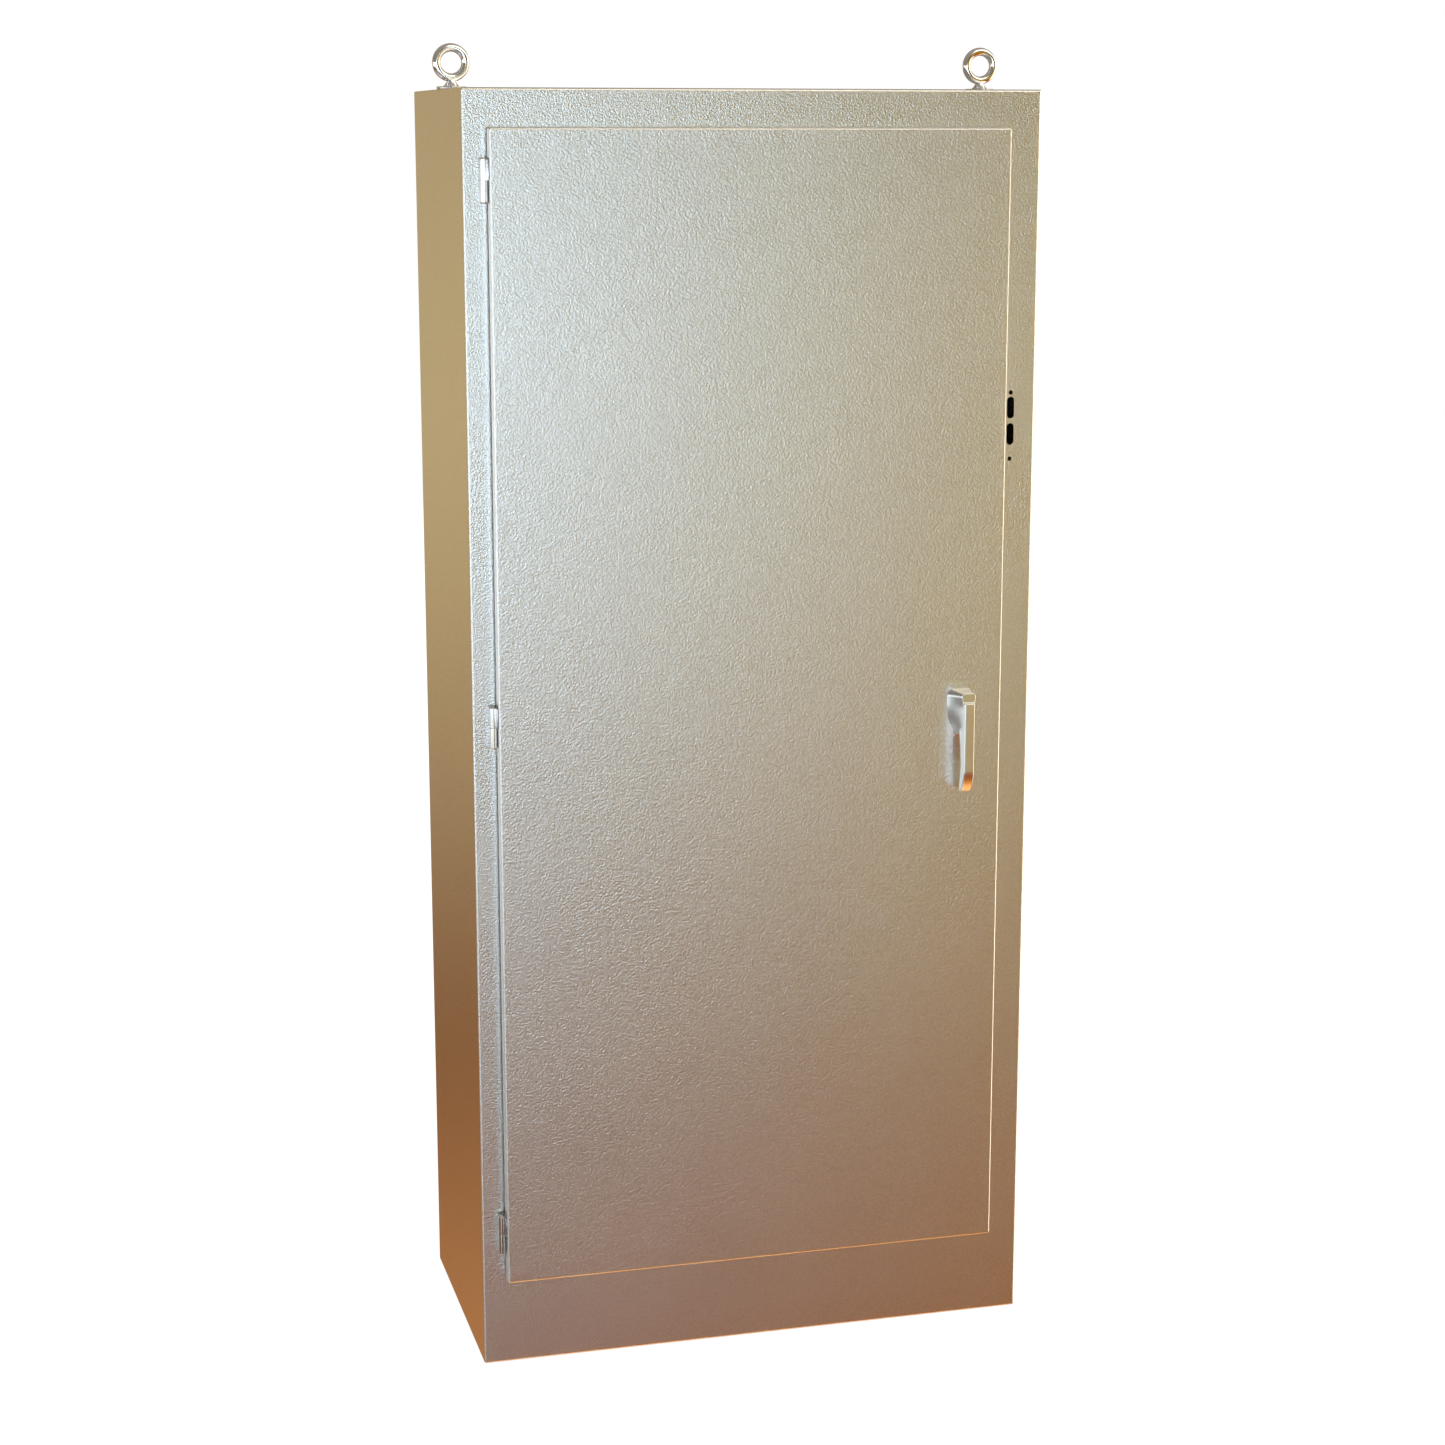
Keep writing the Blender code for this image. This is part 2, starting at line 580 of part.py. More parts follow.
def switch_frame():
    """Steel base plate of the switch, folded forward at both sides to carry the shaft."""
    x0, x1 = BASE_X - BASE_WIDTH / 2, BASE_X + BASE_WIDTH / 2
    cheek = 5 * MM
    base = box("switch_frame", (x0, BASE_FACE, BASE_LOW), (x1, BASE_FACE + BASE_PLATE, BASE_HIGH),
               GREY_PAINT)
    for x in (x0, x1 - cheek):
        side = window("frame_cheek", (x, SHAFT_Y - 45 * MM, SHAFT_Z - 60 * MM),
                      (x + cheek, BASE_FACE + MM, SHAFT_Z + 60 * MM))
        join(base, side)
    shaft_hole = drill("shaft_bearing", SHAFT_R + GAP, (x0 - 0.02, SHAFT_Y, SHAFT_Z),
                       (x1 + 0.02, SHAFT_Y, SHAFT_Z), 20)
    return cut(base, shaft_hole)


def contact_housing(name, way):
    """Three-pole moulded housing above (way 1) or below (way -1) the shaft."""
    half = 1.5 * POLE_PITCH + 12 * MM
    near = SHAFT_Z + way * HOUSING_NEAR
    far = near + way * HOUSING_LENGTH
    front = BASE_FACE - HOUSING_DEPTH
    housing = box(name, (BASE_X - half, front, min(near, far)),
                  (BASE_X + half, BASE_FACE - GAP, max(near, far)), MOULDING)
    ends = sorted((near - way * MM, near + way * 90 * MM))
    for pole in POLES.values():
        x = BASE_X + pole * POLE_PITCH
        cut(housing, window("pole_chamber", (x - 40 * MM, front + 12 * MM, ends[0]),
                            (x + 40 * MM, BASE_FACE - 20 * MM, ends[1])))
    return housing


def terminal_block(name, low, high):
    """Three joined lugs, with one cable hole for each pole."""
    half, depth = 1.5 * POLE_PITCH, 80 * MM
    block = box(name, (BASE_X - half, BASE_FACE - depth, low),
                (BASE_X + half, BASE_FACE - GAP, high), ALUMINIUM)
    slots = []
    for gap in (-0.5, 0.5):
        x = BASE_X + gap * POLE_PITCH
        slots.append(window("lug_gap", (x - 18 * MM, BASE_FACE - depth - MM, low - MM),
                            (x + 18 * MM, BASE_FACE - 20 * MM, high + MM)))
    for pole in POLES.values():
        x = BASE_X + pole * POLE_PITCH
        slots.append(drill("cable_hole", 14 * MM, (x, BASE_FACE - 50 * MM, low - MM),
                           (x, BASE_FACE - 50 * MM, high + MM), 16))
    return cut(block, *slots)


def transfer_shaft():
    """Moulded crossbar whose steel journals turn in the frame's cheeks."""
    x0, x1 = BASE_X - BASE_WIDTH / 2, BASE_X + BASE_WIDTH / 2
    shaft = rod("transfer_shaft", SHAFT_R, (x0 - 30 * MM, SHAFT_Y, SHAFT_Z),
                (x1 + 30 * MM, SHAFT_Y, SHAFT_Z), ZINC)
    body = rod("crossbar_body", CROSSBAR_R, (x0 + 12 * MM, SHAFT_Y, SHAFT_Z),
               (x1 - 12 * MM, SHAFT_Y, SHAFT_Z), None, cutters, 8)
    return join(shaft, body)


def tilted(along, across):
    """A point in the blades' own directions, as Y and Z of the shaft's plane."""
    y = -along * cos(HALF_THROW) - across * sin(HALF_THROW)
    z = along * sin(HALF_THROW) - across * cos(HALF_THROW)
    return (SHAFT_Y + y, SHAFT_Z + z)


def contact_blade(letter, pole):
    """Copper blade clamped round the crossbar, tilted up into the normal contacts."""
    x = BASE_X + pole * POLE_PITCH
    root, reach, half = 28 * MM, 88 * MM, 9 * MM
    clamp_half, clamp_r = 16 * MM, 31 * MM
    clamp = rod(f"contact_blade_{letter}", clamp_r, (x - clamp_half, SHAFT_Y, SHAFT_Z),
                (x + clamp_half, SHAFT_Y, SHAFT_Z), COPPER)
    corners = [tilted(root, half), tilted(reach, half), tilted(reach, -half), tilted(root, -half)]
    bar = plate("blade_bar", corners, "x", x - clamp_half / 2, clamp_half, None, cutters)
    bore = drill("blade_bore", CROSSBAR_R + GAP, (x - 0.03, SHAFT_Y, SHAFT_Z),
                 (x + 0.03, SHAFT_Y, SHAFT_Z), 32)
    return cut(join(clamp, bar), bore)


def manual_lever():
    """Hand lever on the shaft's right end, for maintenance only."""
    x = BASE_X + BASE_WIDTH / 2 + 12 * MM
    thick, reach = 14 * MM, 150 * MM
    hub = rod("manual_lever", 21 * MM, (x, SHAFT_Y, SHAFT_Z), (x + thick, SHAFT_Y, SHAFT_Z),
              RED_MOULDING)
    middle = Vector((x + thick / 2, SHAFT_Y, SHAFT_Z))
    tip = Vector((middle.x, *tilted(reach, 0)))
    arm = rod("lever_arm", 6.5 * MM, middle, tip, None, cutters, 12)
    grip = rod("lever_grip", 10 * MM, middle.lerp(tip, 0.45), tip, None, cutters, 12)
    bore = drill("lever_bore", SHAFT_R + GAP, (x - MM, SHAFT_Y, SHAFT_Z),
                 (x + thick + MM, SHAFT_Y, SHAFT_Z), 20)
    return cut(join(hub, arm, grip), bore)


def solenoid():
    """Transfer coil beside the left cheek, with a plunger that drives the shaft."""
    x = BASE_X - BASE_WIDTH / 2 - 62 * MM
    y = SHAFT_Y + 20 * MM
    top = SHAFT_Z - 120 * MM
    low = top - 130 * MM
    coil = box("solenoid_coil", (x - 40 * MM, y - 45 * MM, low), (x + 40 * MM, PANEL_FACE - GAP, top),
               MOULDING)
    cut(coil, window("coil_bore", (x - 15 * MM, y - 15 * MM, low + 12 * MM),
                     (x + 15 * MM, y + 15 * MM, top + 0.01)))
    plunger = box("solenoid_plunger", (x - 14 * MM, y - 14 * MM, low + 50 * MM),
                  (x + 14 * MM, y + 14 * MM, top + 55 * MM), ZINC)
    return coil, plunger


def controller():
    """Control box on the upper panel, with a test button that springs back."""
    x0, x1 = -180 * MM, 120 * MM
    z0, z1 = 1790 * MM, 2010 * MM
    face = PANEL_FACE - 110 * MM
    case = box("controller_case", (x0, face, z0), (x1, PANEL_FACE - GAP, z1), GREY_PAINT)
    x, z = x1 - 45 * MM, z0 + 45 * MM
    cut(case, drill("button_well", 9 * MM, (x, face - 0.01, z), (x, face + 14 * MM, z), 20))
    button = rod("test_button", 8.4 * MM, (x, face - 6 * MM, z), (x, face + 7 * MM, z),
                 RED_MOULDING, parts, 20)
    return case, button


def bars():
    """Neutral and ground bars low on the mounting panel."""
    z = 420 * MM
    for name, x, material in (("neutral_bar", -210 * MM, ALUMINIUM), ("ground_bar", 210 * MM, COPPER)):
        bar = box(name, (x - 130 * MM, PANEL_FACE - 24 * MM, z - 14 * MM),
                  (x + 130 * MM, PANEL_FACE - GAP, z + 14 * MM), material)
        for step in range(5):
            hole_x = x + (step - 2) * 50 * MM
            cut(bar, drill("wire_hole", 5 * MM, (hole_x, PANEL_FACE - 12 * MM, z - 0.03),
                           (hole_x, PANEL_FACE - 12 * MM, z + 0.03), 8))


def build():
    start_scene()
    cabinet_panels()
    front_frame()
    opening_collar()
    for side, x in (("left", -EYE_X), ("right", EYE_X)):
        eyebolt(side, x)
    roof_stiffener()

    on_door = [door_panel(), door_gasket(), door_stiffener(), data_pocket(), latch_bushing()]
    for place_name, z in HINGE_Z.items():
        on_door.append(hinge(place_name, z))
    on_door.append(rod_guide("rod_guide_upper", 2080 * MM, 1))
    on_door.append(rod_guide("rod_guide_lower", 300 * MM, -1))
    door = hang_on("door_pivot", (HINGE_X, HINGE_Y, HINGE_Z["middle"]), on_door)

    handle = hang_on("handle_pivot", (HANDLE_X, SKIN_OUT, HANDLE_Z),
                     [door_handle(), handle_shaft(), latch_cam()])
    handle.parent = door
    handle.matrix_parent_inverse = door.matrix_world.inverted()
    for name, way in (("latch_rod_upper", 1), ("latch_rod_lower", -1)):
        bar, roller, axis = latch_rod(name, way)
        pivot = hang_on(name.replace("rod", "roller") + "_pivot", axis, [roller])
        slider = hang_on(name + "_slide", axis, [bar, pivot])
        slider.parent = door
        slider.matrix_parent_inverse = door.matrix_world.inverted()

    panel_and_rails()
    switch_frame()
    contact_housing("normal_contact_housing", 1)
    contact_housing("emergency_contact_housing", -1)
    terminal_block("normal_terminals", BASE_HIGH - 110 * MM, BASE_HIGH - 40 * MM)
    terminal_block("emergency_terminals", BASE_LOW + 40 * MM, BASE_LOW + 110 * MM)
    terminal_block("load_terminals", 1000 * MM, 1060 * MM)
    blades = [contact_blade(letter, pole) for letter, pole in POLES.items()]
    hang_on("shaft_pivot", (BASE_X, SHAFT_Y, SHAFT_Z), [transfer_shaft(), manual_lever()] + blades)
    solenoid()
    controller()
    bars()


build()
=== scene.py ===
"""Looks for the free-standing stainless transfer switch enclosure.

Row frame: metres, +Z up, -Y the front, origin in the middle of the cabinet's underside.
"""
import bmesh
import bpy
import json
from math import cos, pi, radians, sin, tan
from mathutils import Matrix, Vector
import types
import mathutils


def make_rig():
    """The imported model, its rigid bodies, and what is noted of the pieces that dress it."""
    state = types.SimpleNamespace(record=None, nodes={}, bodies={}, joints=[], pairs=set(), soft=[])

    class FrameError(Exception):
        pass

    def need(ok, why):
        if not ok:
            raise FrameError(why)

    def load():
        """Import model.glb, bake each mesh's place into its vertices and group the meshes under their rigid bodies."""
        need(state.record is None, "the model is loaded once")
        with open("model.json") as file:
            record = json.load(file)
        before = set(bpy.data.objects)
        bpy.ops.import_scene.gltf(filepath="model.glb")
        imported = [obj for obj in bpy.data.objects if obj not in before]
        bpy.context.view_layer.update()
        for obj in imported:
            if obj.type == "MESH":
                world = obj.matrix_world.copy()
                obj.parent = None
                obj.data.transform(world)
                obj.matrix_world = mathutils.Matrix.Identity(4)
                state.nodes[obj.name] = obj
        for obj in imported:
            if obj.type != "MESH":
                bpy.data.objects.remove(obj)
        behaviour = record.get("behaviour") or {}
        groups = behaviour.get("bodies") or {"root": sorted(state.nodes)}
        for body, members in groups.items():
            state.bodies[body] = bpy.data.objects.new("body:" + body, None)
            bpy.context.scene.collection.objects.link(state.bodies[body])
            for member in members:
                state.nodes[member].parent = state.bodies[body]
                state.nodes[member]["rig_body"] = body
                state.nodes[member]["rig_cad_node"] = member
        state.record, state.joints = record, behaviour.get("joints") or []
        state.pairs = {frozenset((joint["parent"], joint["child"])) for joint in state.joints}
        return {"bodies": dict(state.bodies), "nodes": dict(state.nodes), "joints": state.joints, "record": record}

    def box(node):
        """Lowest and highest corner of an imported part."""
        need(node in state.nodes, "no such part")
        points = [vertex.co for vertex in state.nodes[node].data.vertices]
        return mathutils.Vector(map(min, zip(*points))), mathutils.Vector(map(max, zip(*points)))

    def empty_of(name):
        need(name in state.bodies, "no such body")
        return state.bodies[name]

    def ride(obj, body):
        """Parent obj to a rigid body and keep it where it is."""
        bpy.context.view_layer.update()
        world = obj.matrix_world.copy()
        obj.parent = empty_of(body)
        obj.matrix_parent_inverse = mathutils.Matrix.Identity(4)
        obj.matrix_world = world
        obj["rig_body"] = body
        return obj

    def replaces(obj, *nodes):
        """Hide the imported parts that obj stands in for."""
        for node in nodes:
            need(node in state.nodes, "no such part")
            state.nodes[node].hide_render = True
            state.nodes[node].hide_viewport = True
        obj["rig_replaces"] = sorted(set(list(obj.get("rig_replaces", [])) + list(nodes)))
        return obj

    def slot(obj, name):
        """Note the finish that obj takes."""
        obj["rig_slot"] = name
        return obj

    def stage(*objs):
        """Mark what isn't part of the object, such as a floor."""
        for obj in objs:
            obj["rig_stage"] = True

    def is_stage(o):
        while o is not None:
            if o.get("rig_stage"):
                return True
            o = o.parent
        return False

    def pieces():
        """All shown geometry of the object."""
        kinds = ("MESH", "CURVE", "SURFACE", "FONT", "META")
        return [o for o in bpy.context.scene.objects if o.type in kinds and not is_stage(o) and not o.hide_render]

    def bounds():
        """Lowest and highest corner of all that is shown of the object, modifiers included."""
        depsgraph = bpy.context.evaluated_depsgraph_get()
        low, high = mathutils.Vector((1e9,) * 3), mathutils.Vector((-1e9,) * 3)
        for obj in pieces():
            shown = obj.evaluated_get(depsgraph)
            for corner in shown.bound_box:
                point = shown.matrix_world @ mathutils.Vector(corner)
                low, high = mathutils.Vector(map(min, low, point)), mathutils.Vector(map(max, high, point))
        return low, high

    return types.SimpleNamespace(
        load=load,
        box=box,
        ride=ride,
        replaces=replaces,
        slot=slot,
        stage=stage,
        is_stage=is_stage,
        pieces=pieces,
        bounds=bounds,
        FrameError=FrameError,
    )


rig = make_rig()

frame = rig.load()
size_at_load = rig.bounds()
nodes = frame["nodes"]
scene = bpy.context.scene
MM = 0.001
GAP = 0.3 * MM                      # the CAD's clearance between touching pieces
REACH = 10 * MM                     # how far a cutting tool passes a face on each side

# ---------------------------------------------------------------- places, from the CAD

LOW = Vector((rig.box("side_panel_left")[0].x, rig.box("frame_rail_top")[0].y, 0))
HIGH = Vector((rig.box("side_panel_right")[1].x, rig.box("rear_panel")[1].y,
               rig.box("rear_panel")[1].z))
SHEET = 2.7 * MM
BODY_BEND = 4.5 * MM                # outer radii of the sheet's bends
DOOR_BEND = 3.5 * MM
OPEN_LOW = Vector((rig.box("frame_stile_left")[1].x, LOW.y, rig.box("frame_rail_bottom")[1].z))
OPEN_HIGH = Vector((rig.box("operator_flange")[0].x, LOW.y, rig.box("frame_rail_top")[0].z))
DOOR_LOW, DOOR_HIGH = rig.box("door_panel")
SKIN_OUT = DOOR_LOW.y
SKIN_IN = SKIN_OUT + SHEET
SHAFT_LOW, SHAFT_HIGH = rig.box("handle_shaft")
HANDLE = (SHAFT_LOW + SHAFT_HIGH) / 2
FLANGE_X = HIGH.x - 46.2 * MM       # the operator pattern's centre line
SLOT_WIDTH = 13.6 * MM
SLOT_LENGTH = 38.8 * MM
SLOT_HEIGHTS = (1729.4 * MM, 1682.0 * MM)
SCREW_RADIUS = 3.8 * MM
SCREW_HEIGHTS = (1756.5 * MM, 1637.5 * MM)
HINGES = ("top", "middle", "bottom")


# ---------------------------------------------------------------- mesh helpers

def piece(name, work):
    """A new object from a bmesh, which is freed."""
    bmesh.ops.recalc_face_normals(work, faces=work.faces)
    mesh = bpy.data.meshes.new(name)
    work.to_mesh(mesh)
    work.free()
    mesh.shade_smooth()
    obj = bpy.data.objects.new(name, mesh)
    scene.collection.objects.link(obj)
    return obj


def block(name, low, high):
    """A box between two opposite corners."""
    low, high = Vector(low), Vector(high)
    work = bmesh.new()
    bmesh.ops.create_cube(work, size=1)
    place = Matrix.Translation((low + high) / 2) @ Matrix.Diagonal((*(high - low), 1))
    bmesh.ops.transform(work, matrix=place, verts=work.verts)
    return piece(name, work)


def bridge(work, near, far):
    """Faces between two rings of vertices; a ring of one vertex is a tip."""
    count = max(len(near), len(far))
    for i in range(count):
        j = (i + 1) % count
        corners = [near[i % len(near)], near[j % len(near)], far[j % len(far)], far[i % len(far)]]
        corners = list(dict.fromkeys(corners))
        if len(corners) > 2:
            work.faces.new(corners)


def turned(name, centre, axis, profile, sides=48, hollow=False):
    """A profile of (radius, distance along the axis) turned round; hollow joins its ends."""
    work = bmesh.new()
    place = Matrix.Translation(centre) @ Vector(axis).to_track_quat("Z", "X").to_matrix().to_4x4()
    rings = []
    for radius, along in profile:
        count = sides if radius > 0 else 1
        rings.append([work.verts.new(place @ Vector((radius * cos(2 * pi * k / count),
                                                     radius * sin(2 * pi * k / count), along)))
                      for k in range(count)])
    for near, far in zip(rings, rings[1:]):
        bridge(work, near, far)
    if hollow:
        bridge(work, rings[-1], rings[0])
    else:
        for ring in (rings[0], rings[-1]):
            if len(ring) > 2:
                work.faces.new(ring)
    return piece(name, work)


def prism(name, outline, axis, start, end):
    """An outline pushed along an axis; its points are the other two coordinates in order."""
    work = bmesh.new()
    loops = []
    for depth in (start, end):
        loop = []
        for first, second in outline:
            spot = {"x": (depth, first, second), "y": (first, depth, second),
                    "z": (first, second, depth)}[axis]
            loop.append(work.verts.new(spot))
        work.faces.new(loop)
        loops.append(loop)
    bridge(work, *loops)
    return piece(name, work)


def loft(name, sections):
    """A solid through outlines of equal length; each is a list of 3-D points."""
    work = bmesh.new()
    rings = [[work.verts.new(point) for point in section] for section in sections]
    for near, far in zip(rings, rings[1:]):
        bridge(work, near, far)
    work.faces.new(rings[0])
    work.faces.new(rings[-1])
    return piece(name, work)


def torus(name, centre, major, minor, around=96, across=32):
    """A ring in the XZ plane."""
    work = bmesh.new()
    rings = []
    for i in range(around):
        turn = 2 * pi * i / around
        out = Vector((cos(turn), 0, sin(turn)))
        rings.append([work.verts.new(centre + out * (major + minor * cos(2 * pi * k / across))
                                     + Vector((0, minor * sin(2 * pi * k / across), 0)))
                      for k in range(across)])
    for near, far in zip(rings, rings[1:] + rings[:1]):
        bridge(work, near, far)
    return piece(name, work)


def arc(centre, radius, start_deg, end_deg, steps):
    """Points of an arc, both ends included."""
    points = []
    for step in range(steps + 1):
        angle = radians(start_deg + (end_deg - start_deg) * step / steps)
        points.append((centre[0] + radius * cos(angle), centre[1] + radius * sin(angle)))
    return points


def settle(obj):
    """Make an object's modifiers part of its mesh."""
    bpy.context.view_layer.update()
    shown = obj.evaluated_get(bpy.context.evaluated_depsgraph_get())
    mesh = bpy.data.meshes.new_from_object(shown)
    mesh.name = obj.name
    obj.modifiers.clear()
    obj.data = mesh
    return obj


def combine(obj, operation, tools):
    """Boolean an object with others, which are used up."""
    for tool in tools:
        change = obj.modifiers.new("combine", "BOOLEAN")
        change.operation = operation
        change.solver = "EXACT"
        change.object = tool
    settle(obj)
    for tool in tools:
        bpy.data.objects.remove(tool)
    return obj


def cut(obj, *tools):
    """Take the tools out of an object."""
    return combine(obj, "DIFFERENCE", tools)


def join(obj, *tools):
    """Make one solid of an object and the tools."""
    return combine(obj, "UNION", tools)


def drill(name, centre, axis, radius, sides, depth=2 * REACH):
    """A cutting tool for a round hole, which starts a reach in front of the face."""
    start = Vector(centre) - Vector(axis) * REACH
    return turned(name, start, axis, [(radius, 0), (radius, depth)], sides)


def bevel(obj, width, segments=2, angle=50):
    """Round the edges sharper than an angle."""
    change = obj.modifiers.new("bevel", "BEVEL")
    change.width = width
    change.segments = segments
    change.limit_method = "ANGLE"
    change.angle_limit = radians(angle)
    return obj


def flat_normals(obj):
    """Let the large faces set the shading, so that flats stay flat beside their bends."""
    obj.data.shade_smooth()
    weigh = obj.modifiers.new("normals", "WEIGHTED_NORMAL")
    weigh.mode = "FACE_AREA"
    weigh.weight = 100
    weigh.keep_sharp = False
    return obj


def bend_outer_edges(obj, low, high, radius, back):
    """Round the edges of the box that a folded piece was cut from; back is the share of the
    radius that its rear edges get."""
    near = 0.01 * MM
    weight = obj.data.attributes.new("bevel_weight_edge", "FLOAT", "EDGE")
    for edge in obj.data.edges:
        middle = sum((obj.data.vertices[i].co for i in edge.vertices), Vector()) / 2
        met = sum(min(abs(middle[k] - low[k]), abs(middle[k] - high[k])) < near for k in range(3))
        rear = abs(middle.y - high.y) < near
        weight.data[edge.index].value = (back if rear else 1.0) * (met >= 2)
    change = obj.modifiers.new("bend", "BEVEL")
    change.width = radius
    change.segments = 8
    change.limit_method = "WEIGHT"
    return settle(obj)


def finish_folded(obj, low, high, radius, back=1.0, punched=()):
    """Bends, broken sheet edges, crisp punched holes and shading of a folded piece."""
    bend_outer_edges(obj, low, high, radius, back)
    bevel(obj, 0.35 * MM)
    if punched:
        cut(obj, *punched)
    flat_normals(obj)
    return settle(obj)


def own(obj, body, material, *replaced, slot=None):
    """Give a finished piece its material, its body and the CAD nodes that it stands for."""
    obj.data.materials.clear()
    obj.data.materials.append(material)
    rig.slot(obj, slot or material.name)
    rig.ride(obj, body)
    if replaced:
        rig.replaces(obj, *replaced)
    return obj


# ---------------------------------------------------------------- materials

class Tree:
    """A node tree under construction."""

    def __init__(self, tree):
        self.tree = tree
        tree.nodes.clear()

    def add(self, kind, settings=None, **inputs):
        node = self.tree.nodes.new(kind)
        for key, value in (settings or {}).items():
            setattr(node, key, value)
        for key, value in inputs.items():
            self.feed(node.inputs[key.replace("_", " ")], value)
        return node

    def feed(self, socket, value):
        if isinstance(value, bpy.types.NodeSocket):
            self.tree.links.new(value, socket)
        elif hasattr(socket.default_value, "__len__") and len(socket.default_value) == 4:
            socket.default_value = (*value, 1)
        else:
            socket.default_value = value

    def noise(self, coordinates, scale, detail, stretch=(1, 1, 1)):
        place = self.add("ShaderNodeMapping", Vector=coordinates, Scale=stretch)
        made = self.add("ShaderNodeTexNoise", Vector=place.outputs["Vector"], Scale=scale,
                        Detail=detail)
        return made.outputs["Fac"]

    def ranged(self, value, low, high, source=(0.3, 0.7)):
        made = self.add("ShaderNodeMapRange", Value=value)
        for key, number in zip(("From Min", "From Max", "To Min", "To Max"), (*source, low, high)):
            made.inputs[key].default_value = number
        return made.outputs["Result"]

    def blend(self, factor, first, second):
        made = self.add("ShaderNodeMix", {"data_type": "RGBA"})
        for socket, value in zip((made.inputs[0], made.inputs[6], made.inputs[7]),
                                 (factor, first, second)):
            self.feed(socket, value)
        return made.outputs[2]


def surface(name, colour, rough, metallic=0.0, grain=(600, 0.05), clouds=(5, 0.04),
            bump=0.01, stretch=(1, 1, 1), coat=0.0):
    """A material with a fine grain, broad faint clouds and a bump of the same grain. Grain and
    clouds are (scale, strength), and the bump is its height in millimetres."""
    material = bpy.data.materials.new("look_" + name)
    material.use_nodes = True
    tree = Tree(material.node_tree)
    spots = tree.add("ShaderNodeTexCoord").outputs["Object"]
    fine = tree.noise(spots, grain[0], 2, stretch)
    broad = tree.noise(spots, clouds[0], 3)
    shade = tree.ranged(fine, 1 - grain[1], 1 + grain[1])
    tone = tree.ranged(broad, 1 - clouds[1], 1 + clouds[1])
    both = tree.add("ShaderNodeMath", {"operation": "MULTIPLY"})
    tree.feed(both.inputs[0], shade)
    tree.feed(both.inputs[1], tone)
    tint = tree.add("ShaderNodeVectorMath", {"operation": "SCALE"})
    tint.inputs[0].default_value = colour
    tree.feed(tint.inputs["Scale"], both.outputs[0])
    relief = tree.add("ShaderNodeBump", Height=fine, Strength=1.0, Distance=bump * MM)
    shader = tree.add("ShaderNodeBsdfPrincipled", Base_Color=tint.outputs[0],
                      Metallic=metallic, Normal=relief.outputs[0], Coat_Weight=coat,
                      Roughness=tree.ranged(broad, rough * 0.985, rough * 1.015))
    out = tree.add("ShaderNodeOutputMaterial", Surface=shader.outputs[0])
    out.is_active_output = True
    material.name = name
    return material


for imported in list(bpy.data.materials):
    imported.name = "cad_" + imported.name

LOOKS = {
    "stainless": surface("stainless", (0.80, 0.785, 0.745), 0.28, 1, (320, 0.08), (3, 0.01), 0.5),
    "polished_steel": surface("polished_steel", (0.86, 0.85, 0.83), 0.1, 1, (900, 0.02), (40, 0.02),
                              0.002),
    "zinc_steel": surface("zinc_steel", (0.56, 0.57, 0.58), 0.32, 1, (700, 0.05), (25, 0.10), 0.01),
    "nylon": surface("nylon", (0.72, 0.71, 0.66), 0.45, 0, (900, 0.02), (30, 0.02), 0.003),
    "white_paint": surface("white_paint", (0.80, 0.80, 0.77), 0.42, 0, (500, 0.02), (4, 0.02), 0.015),
    "grey_paint": surface("grey_paint", (0.33, 0.35, 0.36), 0.45, 0, (500, 0.03), (6, 0.03), 0.02),
    "foam": surface("foam", (0.022, 0.022, 0.023), 0.85, 0, (1400, 0.35), (20, 0.1), 0.08),
    "moulding": surface("moulding", (0.045, 0.046, 0.05), 0.42, 0, (900, 0.08), (12, 0.08), 0.01),
    "red_moulding": surface("red_moulding", (0.47, 0.035, 0.025), 0.38, 0, (900, 0.04), (15, 0.05),
                            0.005),
    "copper": surface("copper", (0.80, 0.42, 0.26), 0.27, 1, (500, 0.04), (30, 0.08), 0.008,
                      (1, 1, 8)),
    "aluminium": surface("aluminium", (0.76, 0.77, 0.78), 0.3, 1, (500, 0.04), (20, 0.05), 0.01),
}
STEEL = LOOKS["stainless"]
POLISHED = LOOKS["polished_steel"]
ZINC = LOOKS["zinc_steel"]
GLASS = surface("display_glass", (0.012, 0.016, 0.014), 0.08, 0, (40, 0.1), (8, 0.1), 0.0005,
                coat=0.5)
CAST = surface("satin_casting", (0.82, 0.81, 0.775), 0.28, 1, (700, 0.03), (30, 0.02), 0.004)
TAPE = surface("coil_tape", (0.30, 0.10, 0.035), 0.4, 0, (900, 0.06), (25, 0.08), 0.005)
SATIN = surface("satin_stainless", (0.78, 0.78, 0.775), 0.13, 1, (600, 0.04), (30, 0.02), 0.004)

for node in nodes.values():
    kind = node.data.materials[0].name.removeprefix("cad_").split(".")[0]
    node.data.materials.clear()
    node.data.materials.append(LOOKS[kind])


# ---------------------------------------------------------------- cabinet shell

def operator_cutouts():
    """Two slots between two screw holes, for a flange-mounted operating handle."""
    tools = []
    half = (SLOT_LENGTH - SLOT_WIDTH) / 2
    for z in SLOT_HEIGHTS:
        outline = arc((FLANGE_X, z + half), SLOT_WIDTH / 2, 0, 180, 16)
        outline += arc((FLANGE_X, z - half), SLOT_WIDTH / 2, 180, 360, 16)
        tools.append(prism("slot", outline, "y", LOW.y - REACH, LOW.y + REACH))
    for z in SCREW_HEIGHTS:
        tools.append(drill("screw_hole", (FLANGE_X, LOW.y, z), (0, 1, 0), SCREW_RADIUS, 24))
    return tools


